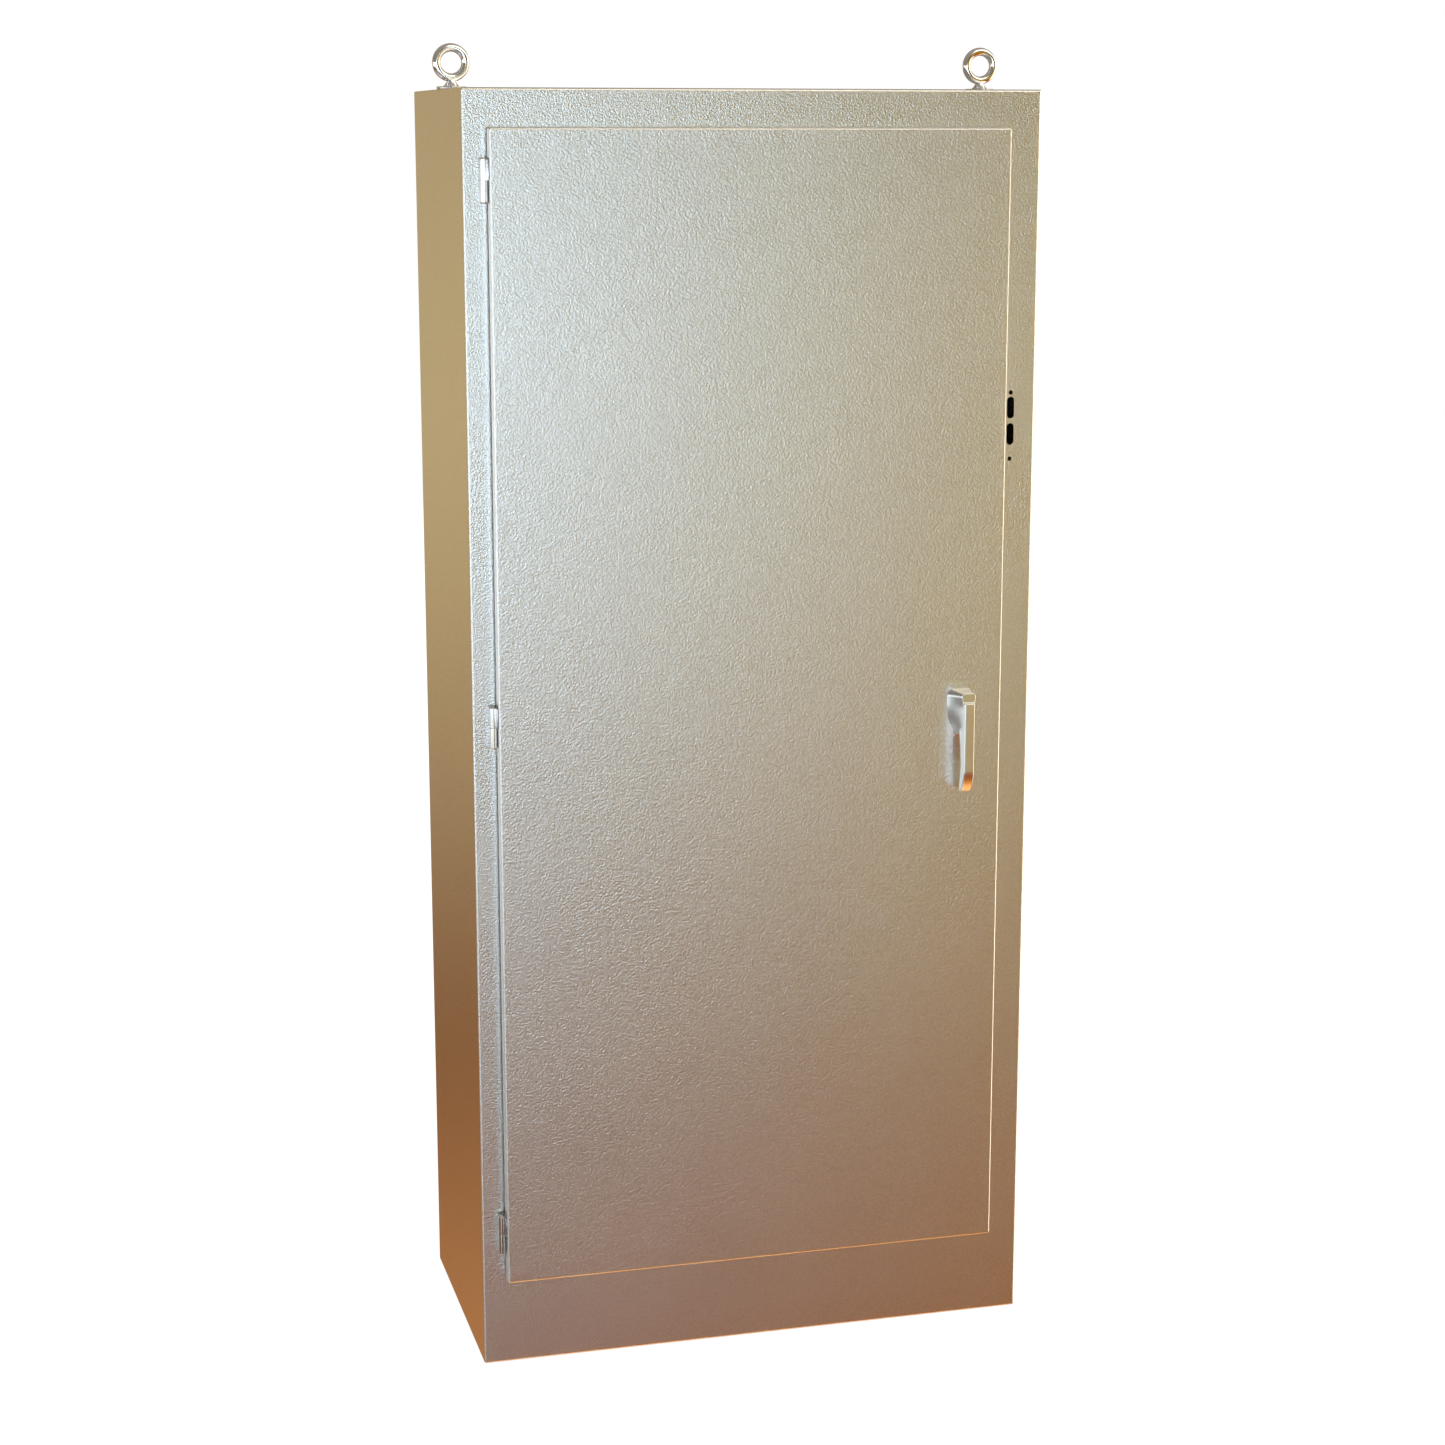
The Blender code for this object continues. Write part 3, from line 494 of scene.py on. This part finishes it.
def cabinet_shell():
    """The welded body: its seams are ground flush, so it reads as one folded shell."""
    wall = Vector((SHEET,) * 3)
    shell = block("cabinet_shell", LOW, HIGH)
    through = Vector((0, REACH, 0))
    tools = [block("inside", LOW + wall, HIGH - wall),
             block("opening", OPEN_LOW - through, OPEN_HIGH + through)]
    for side in ("left", "right"):
        low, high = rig.box(f"eyebolt_nut_{side}")
        middle = (low + high) / 2
        tools.append(drill("roof_hole", (middle.x, middle.y, HIGH.z), (0, 0, 1), 8.3 * MM, 24))
    inset = 70 * MM
    for x in (LOW.x + inset, HIGH.x - inset):
        for y in (LOW.y + inset, HIGH.y - inset):
            tools.append(drill("anchor_hole", (x, y, 0), (0, 0, 1), 7 * MM, 24))
    cut(shell, *tools)
    finish_folded(shell, LOW, HIGH, BODY_BEND, punched=operator_cutouts())
    return own(shell, "cabinet", STEEL, "rear_panel", "side_panel_left", "side_panel_right",
               "roof_panel", "floor_panel", "frame_stile_left", "frame_stile_right_upper",
               "frame_stile_right_lower", "frame_rail_top", "frame_rail_bottom",
               "operator_flange")


def eyebolt(side):
    """Forged lifting eye: a ring on a flared neck and a flange, its shank through the roof."""
    low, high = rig.box(f"eyebolt_{side}")
    centre = Vector(((low.x + high.x) / 2, (low.y + high.y) / 2, high.z))
    wire = 7.3 * MM
    major = (high.x - low.x) / 2 - wire
    centre.z -= major + wire
    rise = centre.z - HIGH.z
    ring = torus("eye_" + side, centre, major, wire)
    flange_top = 5 * MM
    neck_top = rise - major + 1 * MM
    foot = low.z - HIGH.z
    shank, flange, neck_foot, neck_taper = 8 * MM, 26 * MM, 14.5, 8.7
    profile = [(0, foot), (shank - MM, foot), (shank, foot + MM),
               (shank, GAP), (flange - MM, GAP), (flange, GAP + MM),
               (flange, flange_top - MM), (flange - MM, flange_top)]
    steps = 12
    for step in range(steps + 1):
        share = step / steps
        profile.append(((neck_foot - neck_taper * (1 - (1 - share) ** 2)) * MM,
                        flange_top + (neck_top - flange_top) * share))
    profile.append((0, neck_top))
    neck = turned("neck", (centre.x, centre.y, HIGH.z), (0, 0, 1), profile, 64)
    join(ring, neck)
    flat_normals(ring)
    settle(ring)
    return own(ring, "cabinet", POLISHED, f"eyebolt_{side}")


# ---------------------------------------------------------------- hinges

def barrel(name, axis, start, end, radius, bore):
    """A tube along Z with broken edges."""
    edge = 0.2 * MM
    profile = [(bore, start), (radius - edge, start), (radius, start + edge), (radius, end - edge),
               (radius - edge, end), (bore, end)]
    return turned(name, axis, (0, 0, 1), profile, 64, True)


def hinge(place):
    """Barrel hinge, with domed heads on its pin."""
    low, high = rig.box(f"hinge_frame_half_{place}")
    radius = 6.5 * MM
    axis = Vector((low.x + radius, low.y + radius, 0))
    bore = 4.3 * MM
    frame_half = barrel(f"hinge_frame_barrel_{place}", axis, low.z, high.z, radius, bore)
    foot = block("foot", (axis.x - 4.2 * MM, axis.y + 5 * MM, low.z),
                 (axis.x + 4.2 * MM, LOW.y - GAP, high.z))
    join(frame_half, foot)
    low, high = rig.box(f"hinge_door_half_{place}")
    door_half = barrel(f"hinge_door_barrel_{place}", axis, low.z, high.z, radius, bore)
    leaf = block("leaf", (axis.x + 5 * MM, LOW.y - 26 * MM, low.z), (high.x, high.y, high.z))
    join(door_half, leaf)
    low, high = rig.box(f"hinge_pin_{place}")
    head, crown = 6.1 * MM, 3 * MM
    profile = [(0, low.z)]
    profile += [(head * sin(a), low.z + crown * (1 - cos(a))) for a in
                (radians(30), radians(55), radians(75), radians(90))]
    profile += [(4 * MM, low.z + crown), (4 * MM, high.z - crown)]
    profile += [(head * sin(a), high.z - crown * (1 - cos(a))) for a in
                (radians(90), radians(75), radians(55), radians(30))]
    profile.append((0, high.z))
    pin = turned(f"hinge_pin_domed_{place}", axis, (0, 0, 1), profile, 40)
    for made in (frame_half, door_half, pin):
        flat_normals(made)
        settle(made)
    own(frame_half, "cabinet", SATIN, f"hinge_frame_half_{place}", slot=STEEL.name)
    own(door_half, "door", SATIN, f"hinge_door_half_{place}", slot=STEEL.name)
    own(pin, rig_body(f"hinge_pin_{place}"), POLISHED, f"hinge_pin_{place}")


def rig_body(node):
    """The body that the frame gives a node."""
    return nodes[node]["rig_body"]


# ---------------------------------------------------------------- door and handle

def door_skin():
    """Formed pan with rolled bends, side flanges and a lip turned in at the back."""
    door = block("door_pan", DOOR_LOW, DOOR_HIGH)
    lip = 10 * MM
    lip_front = DOOR_HIGH.y - SHEET
    tools = [block("pan", (DOOR_LOW.x + SHEET, SKIN_IN, DOOR_LOW.z + SHEET),
                   (DOOR_HIGH.x - SHEET, lip_front, DOOR_HIGH.z - SHEET)),
             block("mouth", (DOOR_LOW.x + lip, lip_front - MM, DOOR_LOW.z + lip),
                   (DOOR_HIGH.x - lip, LOW.y, DOOR_HIGH.z - lip)),
             drill("shaft_hole", (HANDLE.x, SKIN_OUT, HANDLE.z), (0, 1, 0), 13 * MM, 32, 15 * MM)]
    cut(door, *tools)
    finish_folded(door, DOOR_LOW, DOOR_HIGH, DOOR_BEND, back=0.3)
    return own(door, "door", STEEL, "door_panel")


def curve(points, count):
    """Evenly spaced points of a smooth curve through the points given."""
    ends = [2 * points[0] - points[1]] + points + [2 * points[-1] - points[-2]]
    fine = []
    for a, b, c, d in zip(ends, ends[1:], ends[2:], ends[3:]):
        for step in range(20):
            t = step / 20
            fine.append(0.5 * (2 * b + (c - a) * t + (2 * a - 5 * b + 4 * c - d) * t ** 2
                               + (3 * b - a - 3 * c + d) * t ** 3))
    fine.append(points[-1])
    walked = [0]
    for a, b in zip(fine, fine[1:]):
        walked.append(walked[-1] + (b - a).length)
    spots = []
    for step in range(count):
        goal = walked[-1] * step / (count - 1)
        i = max(k for k, length in enumerate(walked) if length <= goal + 1e-9)
        j = min(i + 1, len(fine) - 1)
        share = (goal - walked[i]) / (walked[j] - walked[i]) if j > i else 0
        spots.append(fine[i].lerp(fine[j], share))
    return spots


def shield(flank, top, corner, right):
    """Shield outline from its flank, bottom first, with rounded corners and a flat top; right
    scales the right side."""
    half = flank[-1][0]
    points = curve([Vector(point) for point in flank], 18)
    points += [Vector(point) for point in arc((half - corner, top - corner), corner, 0, 90, 6)]
    return ([Vector((point.x * right, point.y)) for point in points]
            + [Vector((-point.x, point.y)) for point in reversed(points)])


def handle_casting():
    """Cast handle: shield-shaped hub and a lever that bends back at its tip."""
    # outlines in mm from the shaft's axis: against the door, and 38 mm in front of it
    base = shield([(6.9, -59.2), (14.3, -49.4), (21.7, -37.4), (26.3, -23.2), (28.8, -7),
                   (28.8, 14)], 27.6, 13, 0.8)
    front = shield([(9, -42), (9.6, -36), (10, -26), (10, -14), (10.4, 2), (14, 17)], 24.6, 6, 0.95)
    depth, foot_gap = 38, 0.7
    sections = []
    for step in range(7):
        share = step / 6
        near = share ** 0.8
        sections.append([(HANDLE.x + (a.x + (b.x - a.x) * near) * MM,
                          SKIN_OUT - (foot_gap + (depth - foot_gap) * share) * MM,
                          HANDLE.z + (a.y + (b.y - a.y) * near) * MM)
                         for a, b in zip(base, front)])
    hub = loft("handle_casting", sections)
    grip_front, tip, bend_from = 44.6, -157.6, -119
    profile = [(grip_front, 6.6), (grip_front, bend_from)]
    out, steps = grip_front, 8
    drop = (bend_from - tip) / steps
    for step in range(steps):
        out -= drop * tan(radians(4 + 32 * step / (steps - 1)))
        profile.append((out, bend_from - drop * (step + 1)))
    profile += [(out - 12, tip), (24.4, -124), (26.4, -111), (22.4, -73), (12.4, -40), (5, 6.6)]
    outline = [(SKIN_OUT - out * MM, HANDLE.z + z * MM) for out, z in profile]
    lever = prism("lever", outline, "x", HANDLE.x - 9.8 * MM, HANDLE.x + 9.8 * MM)
    boss = turned("boss", (HANDLE.x, SKIN_OUT - 6 * MM, HANDLE.z), (0, 1, 0),
                  [(10 * MM, 0), (10 * MM, 10.5 * MM)], 40)
    join(hub, lever, boss)
    remesh = hub.modifiers.new("remesh", "REMESH")
    remesh.mode = "VOXEL"
    remesh.voxel_size = 0.9 * MM
    even = hub.modifiers.new("even", "SMOOTH")
    even.factor = 0.5
    even.iterations = 8
    settle(hub)
    hub.data.shade_smooth()
    return own(hub, "handle", CAST, "door_handle", slot=POLISHED.name)


# ---------------------------------------------------------------- inside

def gather(name, made):
    """One object from several that don't touch."""
    work = bmesh.new()
    for obj in made:
        work.from_mesh(obj.data)
        bpy.data.objects.remove(obj)
    obj = piece(name, work)
    flat_normals(obj)
    return settle(obj)


def hex_bolt(centre, axis, size):
    """Washer and chamfered hexagon head standing on a face."""
    washer = turned("washer", centre, axis, [(size, 0), (size, 0.16 * size), (0.94 * size, 0.2 * size)],
                    32)
    head = turned("head", centre, axis, [(0.82 * size, 0.1 * size), (0.82 * size, 0.72 * size),
                                         (0.68 * size, 0.82 * size)], 6)
    return join(head, washer)


def set_screw(centre, axis, radius):
    """Screw standing a little proud, with a driving recess."""
    return turned("set_screw", centre, axis,
                  [(radius, 0), (radius, 0.5 * radius), (0.85 * radius, 0.65 * radius),
                   (0.5 * radius, 0.65 * radius), (0.5 * radius, 0.2 * radius)], 24)


def fasteners():
    """Bolts of the panel and the switch frame, set screws of lugs and bars."""
    low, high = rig.box("mounting_panel")
    inset = 22 * MM
    spots = [(x, low.y, z) for x in (low.x + inset, high.x - inset)
             for z in (low.z + inset, low.z + (high.z - low.z) / 3, high.z - (high.z - low.z) / 3,
                       high.z - inset)]
    own(gather("panel_bolts", [hex_bolt(spot, (0, -1, 0), 9 * MM) for spot in spots]),
        "cabinet", ZINC)
    low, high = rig.box("switch_frame")
    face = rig.box("mounting_panel")[0].y - GAP - 5 * MM
    spots = [(x, face, z) for x in (low.x + 28 * MM, high.x - 28 * MM)
             for z in (low.z + inset, (low.z + high.z) / 2 + 120 * MM, high.z - inset)]
    own(gather("frame_bolts", [hex_bolt(spot, (0, -1, 0), 8 * MM) for spot in spots]),
        "cabinet", ZINC)
    for block_name in ("normal_terminals", "emergency_terminals", "load_terminals"):
        low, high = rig.box(block_name)
        pitch = (high.x - low.x) / 3
        spots = [(low.x + pitch * (pole + 0.5), low.y, z) for pole in range(3)
                 for z in (low.z + (high.z - low.z) * 0.3, low.z + (high.z - low.z) * 0.7)]
        own(gather(block_name + "_screws", [set_screw(spot, (0, -1, 0), 7 * MM) for spot in spots]),
            "cabinet", ZINC)
        walls = []
        for gap in (1, 2):
            x = low.x + pitch * gap
            wall = block("barrier", (x - 1.5 * MM, low.y - 14 * MM, low.z - 8 * MM),
                         (x + 1.5 * MM, high.y - 21 * MM, high.z + 8 * MM))
            walls.append(settle(bevel(wall, MM, 3)))
        own(gather(block_name + "_barriers", walls), "cabinet", LOOKS["nylon"])
    for bar in ("neutral_bar", "ground_bar"):
        low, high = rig.box(bar)
        middle = (low.x + high.x) / 2
        spots = [(middle + step * 50 * MM, low.y, (low.z + high.z) / 2) for step in (-2, -1, 0, 1, 2)]
        made = [set_screw(spot, (0, -1, 0), 5 * MM) for spot in spots]
        made += [hex_bolt((x, low.y, (low.z + high.z) / 2), (0, -1, 0), 6.5 * MM)
                 for x in (low.x + 9 * MM, high.x - 9 * MM)]
        own(gather(bar + "_screws", made), "cabinet", ZINC)


def housing_cover(source):
    """Vented front of a contact housing, with ribs between the poles."""
    low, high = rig.box(source + "_contact_housing")
    front = low.y - GAP
    cover = block(source + "_housing_cover", (low.x + 5 * MM, front - 4 * MM, low.z + 5 * MM),
                  (high.x - 5 * MM, front, high.z - 5 * MM))
    pitch = 110 * MM
    middle = (low.x + high.x) / 2
    vents = []
    for pole in (-1, 0, 1):
        for step in range(6):
            x, z = middle + pole * pitch, low.z + (32 + 16 * step) * MM
            half = 34 * MM
            outline = (arc((x + half, z), 2.5 * MM, -90, 90, 6)
                       + arc((x - half, z), 2.5 * MM, 90, 270, 6))
            vents.append(prism("vent", outline, "y", front - REACH, front + REACH))
    cut(cover, gather("vents", vents))
    ribs = [block("rib", (middle + side * pitch - 3 * MM, front - 12 * MM, low.z + 8 * MM),
                  (middle + side * pitch + 3 * MM, front - MM, high.z - 8 * MM))
            for side in (-0.5, 0.5)]
    join(cover, *ribs)
    settle(bevel(cover, 0.6 * MM))
    flat_normals(cover)
    settle(cover)
    own(cover, "cabinet", LOOKS["moulding"])
    corners = [(x, front - 4 * MM, z) for x in (low.x + 12 * MM, high.x - 12 * MM)
               for z in (low.z + 13 * MM, high.z - 13 * MM)]
    own(gather(source + "_cover_screws", [set_screw(spot, (0, -1, 0), 4 * MM) for spot in corners]),
        "cabinet", ZINC)


def controller_face():
    """Bezel, display window, keys and lamps of the controller; no lettering."""
    low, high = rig.box("controller_case")
    front = low.y - GAP
    bezel = block("controller_bezel", (low.x + 6 * MM, front - 4 * MM, low.z + 6 * MM),
                  (high.x - 6 * MM, front, high.z - 6 * MM))
    screen_low = Vector((low.x + 30 * MM, front, high.z - 105 * MM))
    screen_high = Vector((low.x + 165 * MM, front, high.z - 30 * MM))
    keys_low = Vector((low.x + 30 * MM, front, low.z + 30 * MM))
    through = Vector((0, REACH, 0))
    tools = [block("screen_hole", screen_low - through, screen_high + through)]
    low_button, high_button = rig.box("test_button")
    tools.append(drill("button_hole", ((low_button.x + high_button.x) / 2, front,
                                       (low_button.z + high_button.z) / 2), (0, 1, 0), 11 * MM, 40))
    keys = []
    key = 15 * MM
    for column in range(4):
        for row in range(2):
            spot = keys_low + Vector((column * 37 * MM, 0, row * 32 * MM))
            tools.append(block("key_hole", spot - Vector((MM, REACH, MM)),
                               spot + Vector((key * 1.6 + MM, REACH, key + MM))))
            cap = block("key", spot - Vector((0, 5.5 * MM, 0)), spot + Vector((key * 1.6, 0, key)))
            keys.append(settle(bevel(cap, 1.2 * MM, 3)))
    cut(bezel, *tools)
    settle(bevel(bezel, 0.7 * MM))
    flat_normals(bezel)
    settle(bezel)
    own(bezel, "cabinet", LOOKS["moulding"])
    own(gather("controller_keys", keys), "cabinet", LOOKS["nylon"])
    screen = block("controller_display", screen_low + Vector((0.4 * MM, -2.2 * MM, 0.4 * MM)),
                   screen_high - Vector((0.4 * MM, 0, 0.4 * MM)))
    own(settle(bevel(screen, 0.4 * MM)), "cabinet", GLASS, slot="moulding")
    lamps = [turned("lamp", (high.x - 75 * MM + step * 22 * MM, front - 3.8 * MM, high.z - 50 * MM),
                    (0, -1, 0), [(4.5 * MM, 0), (4.5 * MM, 1.5 * MM), (3.8 * MM, 3 * MM),
                                 (2.2 * MM, 4 * MM), (0, 4.4 * MM)], 28) for step in (0, 1, 2)]
    own(gather("controller_lamps", lamps), "cabinet", LOOKS["nylon"])


def wound_coil():
    """Coil with wound layers between two flanges, and the bore for its plunger."""
    low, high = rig.box("solenoid_coil")
    bore_low, bore_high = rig.box("solenoid_plunger")
    middle = (low + high) / 2
    hole = (bore_low + bore_high) / 2
    half_x, half_y = (high.x - low.x) / 2, (high.y - low.y) / 2
    flange = 7 * MM

    def ring(inset, z):
        """Rounded rectangle with 8 points for each corner."""
        corner = 10 * MM
        x, y = half_x - inset - corner, half_y - inset - corner
        points = []
        for sign_x, sign_y, start in ((1, 1, 0), (-1, 1, 90), (-1, -1, 180), (1, -1, 270)):
            points += arc((middle.x + sign_x * x, middle.y + sign_y * y), corner, start, start + 90, 7)
        return [(a, b, z) for a, b in points]

    def bore(z):
        side = 15 * MM
        points = []
        for sign_x, sign_y, start in ((1, 1, 0), (-1, 1, 90), (-1, -1, 180), (1, -1, 270)):
            points += arc((hole.x + sign_x * (side - MM), hole.y + sign_y * (side - MM)), MM,
                          start, start + 90, 7)
        return [(a, b, z) for a, b in points]

    sections = [ring(0, low.z), ring(0, low.z + flange), ring(6 * MM, low.z + flange)]
    turns = 34
    start, end = low.z + flange, high.z - flange
    for turn in range(turns):
        for share, inset in ((0.1, 7), (0.35, 6.2), (0.65, 6.2), (0.9, 7)):
            sections.append(ring(inset * MM, start + (end - start) * (turn + share) / turns))
    sections += [ring(6 * MM, high.z - flange), ring(0, high.z - flange), ring(0, high.z),
                 bore(high.z), bore(low.z + 12 * MM)]
    coil = loft("wound_coil", sections)
    flat_normals(coil)
    own(settle(coil), "cabinet", TAPE, "solenoid_coil", slot="moulding")


def ground_studs():
    """Bonding studs on the door and on the cabinet's side."""
    for name, body, spot, axis in (
            ("door_ground_stud", "door", (DOOR_LOW.x + 60 * MM, SKIN_IN, DOOR_LOW.z + 60 * MM), (0, 1, 0)),
            ("cabinet_ground_stud", "cabinet", (LOW.x + SHEET, LOW.y + 60 * MM, 150 * MM), (1, 0, 0))):
        stud = turned("stud", spot, axis, [(4 * MM, -0.3 * MM), (4 * MM, 17 * MM), (3 * MM, 18 * MM)], 24)
        nut = turned("nut", spot, axis, [(8 * MM, 2 * MM), (8 * MM, 8 * MM), (7 * MM, 9 * MM)], 6)
        washer = turned("washer", spot, axis, [(10 * MM, 0.2 * MM), (10 * MM, 2.2 * MM)], 32)
        join(stud, nut, washer)
        flat_normals(stud)
        stud.name = name
        own(settle(stud), body, LOOKS["copper"])


def soften_imports():
    """Break the sharp edges of the CAD nodes that show."""
    for name, node in nodes.items():
        if not name.startswith("contact_blade"):
            bevel(node, 0.5 * MM, 2, 40)


# ---------------------------------------------------------------- set

def world_light():
    """White behind the object, and soft studio surroundings for the metal to mirror."""
    world = bpy.data.worlds.new("studio")
    scene.world = world
    world.use_nodes = True
    tree = Tree(world.node_tree)
    way = tree.add("ShaderNodeTexCoord").outputs["Generated"]
    split = tree.add("ShaderNodeSeparateXYZ", Vector=way)
    height = tree.ranged(split.outputs["Z"], 0, 1, (-1, 1))

    def ramp(stops):
        """Colour by elevation; each stop is (degrees above the horizon, colour)."""
        made = tree.add("ShaderNodeValToRGB", Fac=height)
        made.color_ramp.interpolation = "LINEAR"
        for slot, (degrees, colour) in enumerate(stops):
            spot = (sin(radians(degrees)) + 1) / 2
            bar = made.color_ramp.elements
            element = bar[slot] if slot < 2 else bar.new(spot)
            element.position = spot
            element.color = (*colour, 1)
        return made.outputs["Color"]

    def lobe(azimuth, elevation, inner, outer, way=way):
        """1 within inner degrees of a direction and 0 past outer; azimuth 0 is the front,
        and positive to the right."""
        aim = Vector((sin(radians(azimuth)) * cos(radians(elevation)),
                      -cos(radians(azimuth)) * cos(radians(elevation)), sin(radians(elevation))))
        dot = tree.add("ShaderNodeVectorMath", {"operation": "DOT_PRODUCT"})
        tree.feed(dot.inputs[0], way)
        dot.inputs[1].default_value = aim
        made = tree.add("ShaderNodeMapRange", {"interpolation_type": "SMOOTHERSTEP"},
                        Value=dot.outputs["Value"])
        made.inputs["From Min"].default_value = cos(radians(outer))
        made.inputs["From Max"].default_value = cos(radians(inner))
        return made.outputs["Result"]

    def sector(azimuth, inner, outer):
        """The same for a slice of the horizon, at every elevation."""
        level = tree.add("ShaderNodeVectorMath", {"operation": "MULTIPLY"})
        tree.feed(level.inputs[0], way)
        level.inputs[1].default_value = (1, 1, 0)
        unit = tree.add("ShaderNodeVectorMath", {"operation": "NORMALIZE"})
        tree.feed(unit.inputs[0], level.outputs[0])
        return lobe(azimuth, 0, inner, outer, unit.outputs[0])

    front = ramp([(-90, (2.5, 1.4, 0.65)), (-62, (1.5, 0.62, 0.16)), (-50, (0.7, 0.24, 0.02)),
                  (-38, (0.36, 0.08, 0)), (-24, (0.30, 0.03, 0)), (-19, (0.31, 0.14, 0.01)),
                  (-14, (0.43, 0.31, 0.055)), (-6, (0.79, 0.55, 0.1)), (0, (0.34, 0.23, 0.02)),
                  (5, (0.10, 0.06, 0.01)), (14, (0.10, 0.06, 0.01)), (20, (0.8, 0.7, 0.5)),
                  (30, (1.9, 1.75, 1.5)), (50, (1.9, 1.75, 1.5)), (60, (0.6, 0.56, 0.5)),
                  (90, (0.35, 0.33, 0.3))])
    back = ramp([(-90, (0.54, 0.24, 0.08)), (-24, (0.55, 0.23, 0.08)), (-18, (0.19, 0.06, 0.015)),
                 (-13, (0.40, 0.26, 0.13)), (-6, (0.62, 0.475, 0.245)), (1, (0.50, 0.375, 0.2)),
                 (25, (0.3, 0.25, 0.18)), (90, (0.35, 0.33, 0.3))])
    left = ramp([(-90, (0.5, 0.25, 0.1)), (-75, (0.5, 0.27, 0.12)), (-62, (0.8, 0.85, 0.9)),
                 (-36, (0.42, 0.44, 0.47)), (-29, (0.27, 0.24, 0.22)), (-25, (0.18, 0.10, 0.06)),
                 (-20, (0.15, 0.12, 0.11)), (-16, (0.30, 0.33, 0.36)), (-11, (1.2, 1.35, 1.5)),
                 (-7, (2.3, 2.55, 2.8)), (0.8, (2.3, 2.55, 2.8)), (2, (0.22, 0.20, 0.18)),
                 (90, (0.35, 0.33, 0.3))])
    behind = tree.ranged(split.outputs["Y"], 0, 1, (-0.15, 0.15))
    colour = tree.blend(behind, front, back)
    # the silver glow on the door, and the darker patch below it
    colour = tree.blend(lobe(3, -5, 5.5, 9.5), colour, (3.5, 4.8, 6.1))
    low_left = tree.add("ShaderNodeMath", {"operation": "MULTIPLY"})
    tree.feed(low_left.inputs[0], lobe(5, -18, 4, 16))
    low_left.inputs[1].default_value = 0.95
    colour = tree.blend(low_left.outputs[0], colour, (0.12, 0.09, 0.075))
    # the left of the room, a lamp in it, and the window that lights the door's right edge
    colour = tree.blend(sector(-52, 48, 56), colour, left)
    colour = tree.blend(lobe(-31, -20, 2, 5), colour, (1.8, 1.8, 1.8))
    colour = tree.blend(lobe(88, -4, 24, 40), colour, (2.2, 1.95, 1.6))
    surroundings = tree.add("ShaderNodeBackground", Color=colour, Strength=1.0)
    plain = tree.add("ShaderNodeBackground", Color=(1, 1, 1), Strength=1.0)
    ray = tree.add("ShaderNodeLightPath")
    soft = tree.add("ShaderNodeMath", {"operation": "MAXIMUM"})
    tree.feed(soft.inputs[0], ray.outputs["Is Camera Ray"])
    tree.feed(soft.inputs[1], ray.outputs["Is Diffuse Ray"])
    both = tree.add("ShaderNodeMixShader")
    for socket, value in zip(both.inputs, (soft.outputs[0], surroundings.outputs[0],
                                           plain.outputs[0])):
        tree.feed(socket, value)
    tree.add("ShaderNodeOutputWorld", Surface=both.outputs[0])


def floor():
    """Pale floor that only shows a faint contact shadow, and isn't mirrored."""
    reach = 12
    work = bmesh.new()
    corners = [(-reach, -reach), (reach, -reach), (reach, reach), (-reach, reach)]
    work.faces.new([work.verts.new((x, y, -0.2 * MM)) for x, y in corners])
    ground = piece("floor", work)
    ground.visible_glossy = False
    material = bpy.data.materials.new("floor")
    material.use_nodes = True
    shader = material.node_tree.nodes["Principled BSDF"]
    shader.inputs["Base Color"].default_value = (0.25, 0.25, 0.25, 1)
    shader.inputs["Roughness"].default_value = 1
    shader.inputs["Specular IOR Level"].default_value = 0
    shader.inputs["Emission Color"].default_value = (1, 1, 1, 1)
    shader.inputs["Emission Strength"].default_value = 0.88
    ground.data.materials.append(material)
    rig.stage(ground)


def camera():
    """The photo's camera, found from the cabinet's corners."""
    down, right = 11.85, 14.94      # degrees that it looks down, and to the right
    lens = bpy.data.cameras.new("camera")
    lens.lens = 69.52
    lens.sensor_width = 36
    lens.clip_end = 60
    view = bpy.data.objects.new("camera", lens)
    scene.collection.objects.link(view)
    view.location = (-1.3261, -4.9810, 2.2058)
    view.rotation_euler = (radians(90 - down), 0, radians(-right))
    scene.camera = view


cabinet_shell()
for side in ("left", "right"):
    eyebolt(side)
for place in HINGES:
    hinge(place)
door_skin()
handle_casting()
fasteners()
for source in ("normal", "emergency"):
    housing_cover(source)
controller_face()
wound_coil()
ground_studs()
soften_imports()
world_light()
floor()
camera()
scene.view_settings.view_transform = "Standard"

size_at_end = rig.bounds()
with open("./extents.json", "w") as out:
    json.dump({"load": [list(corner) for corner in size_at_load],
               "end": [list(corner) for corner in size_at_end]}, out)
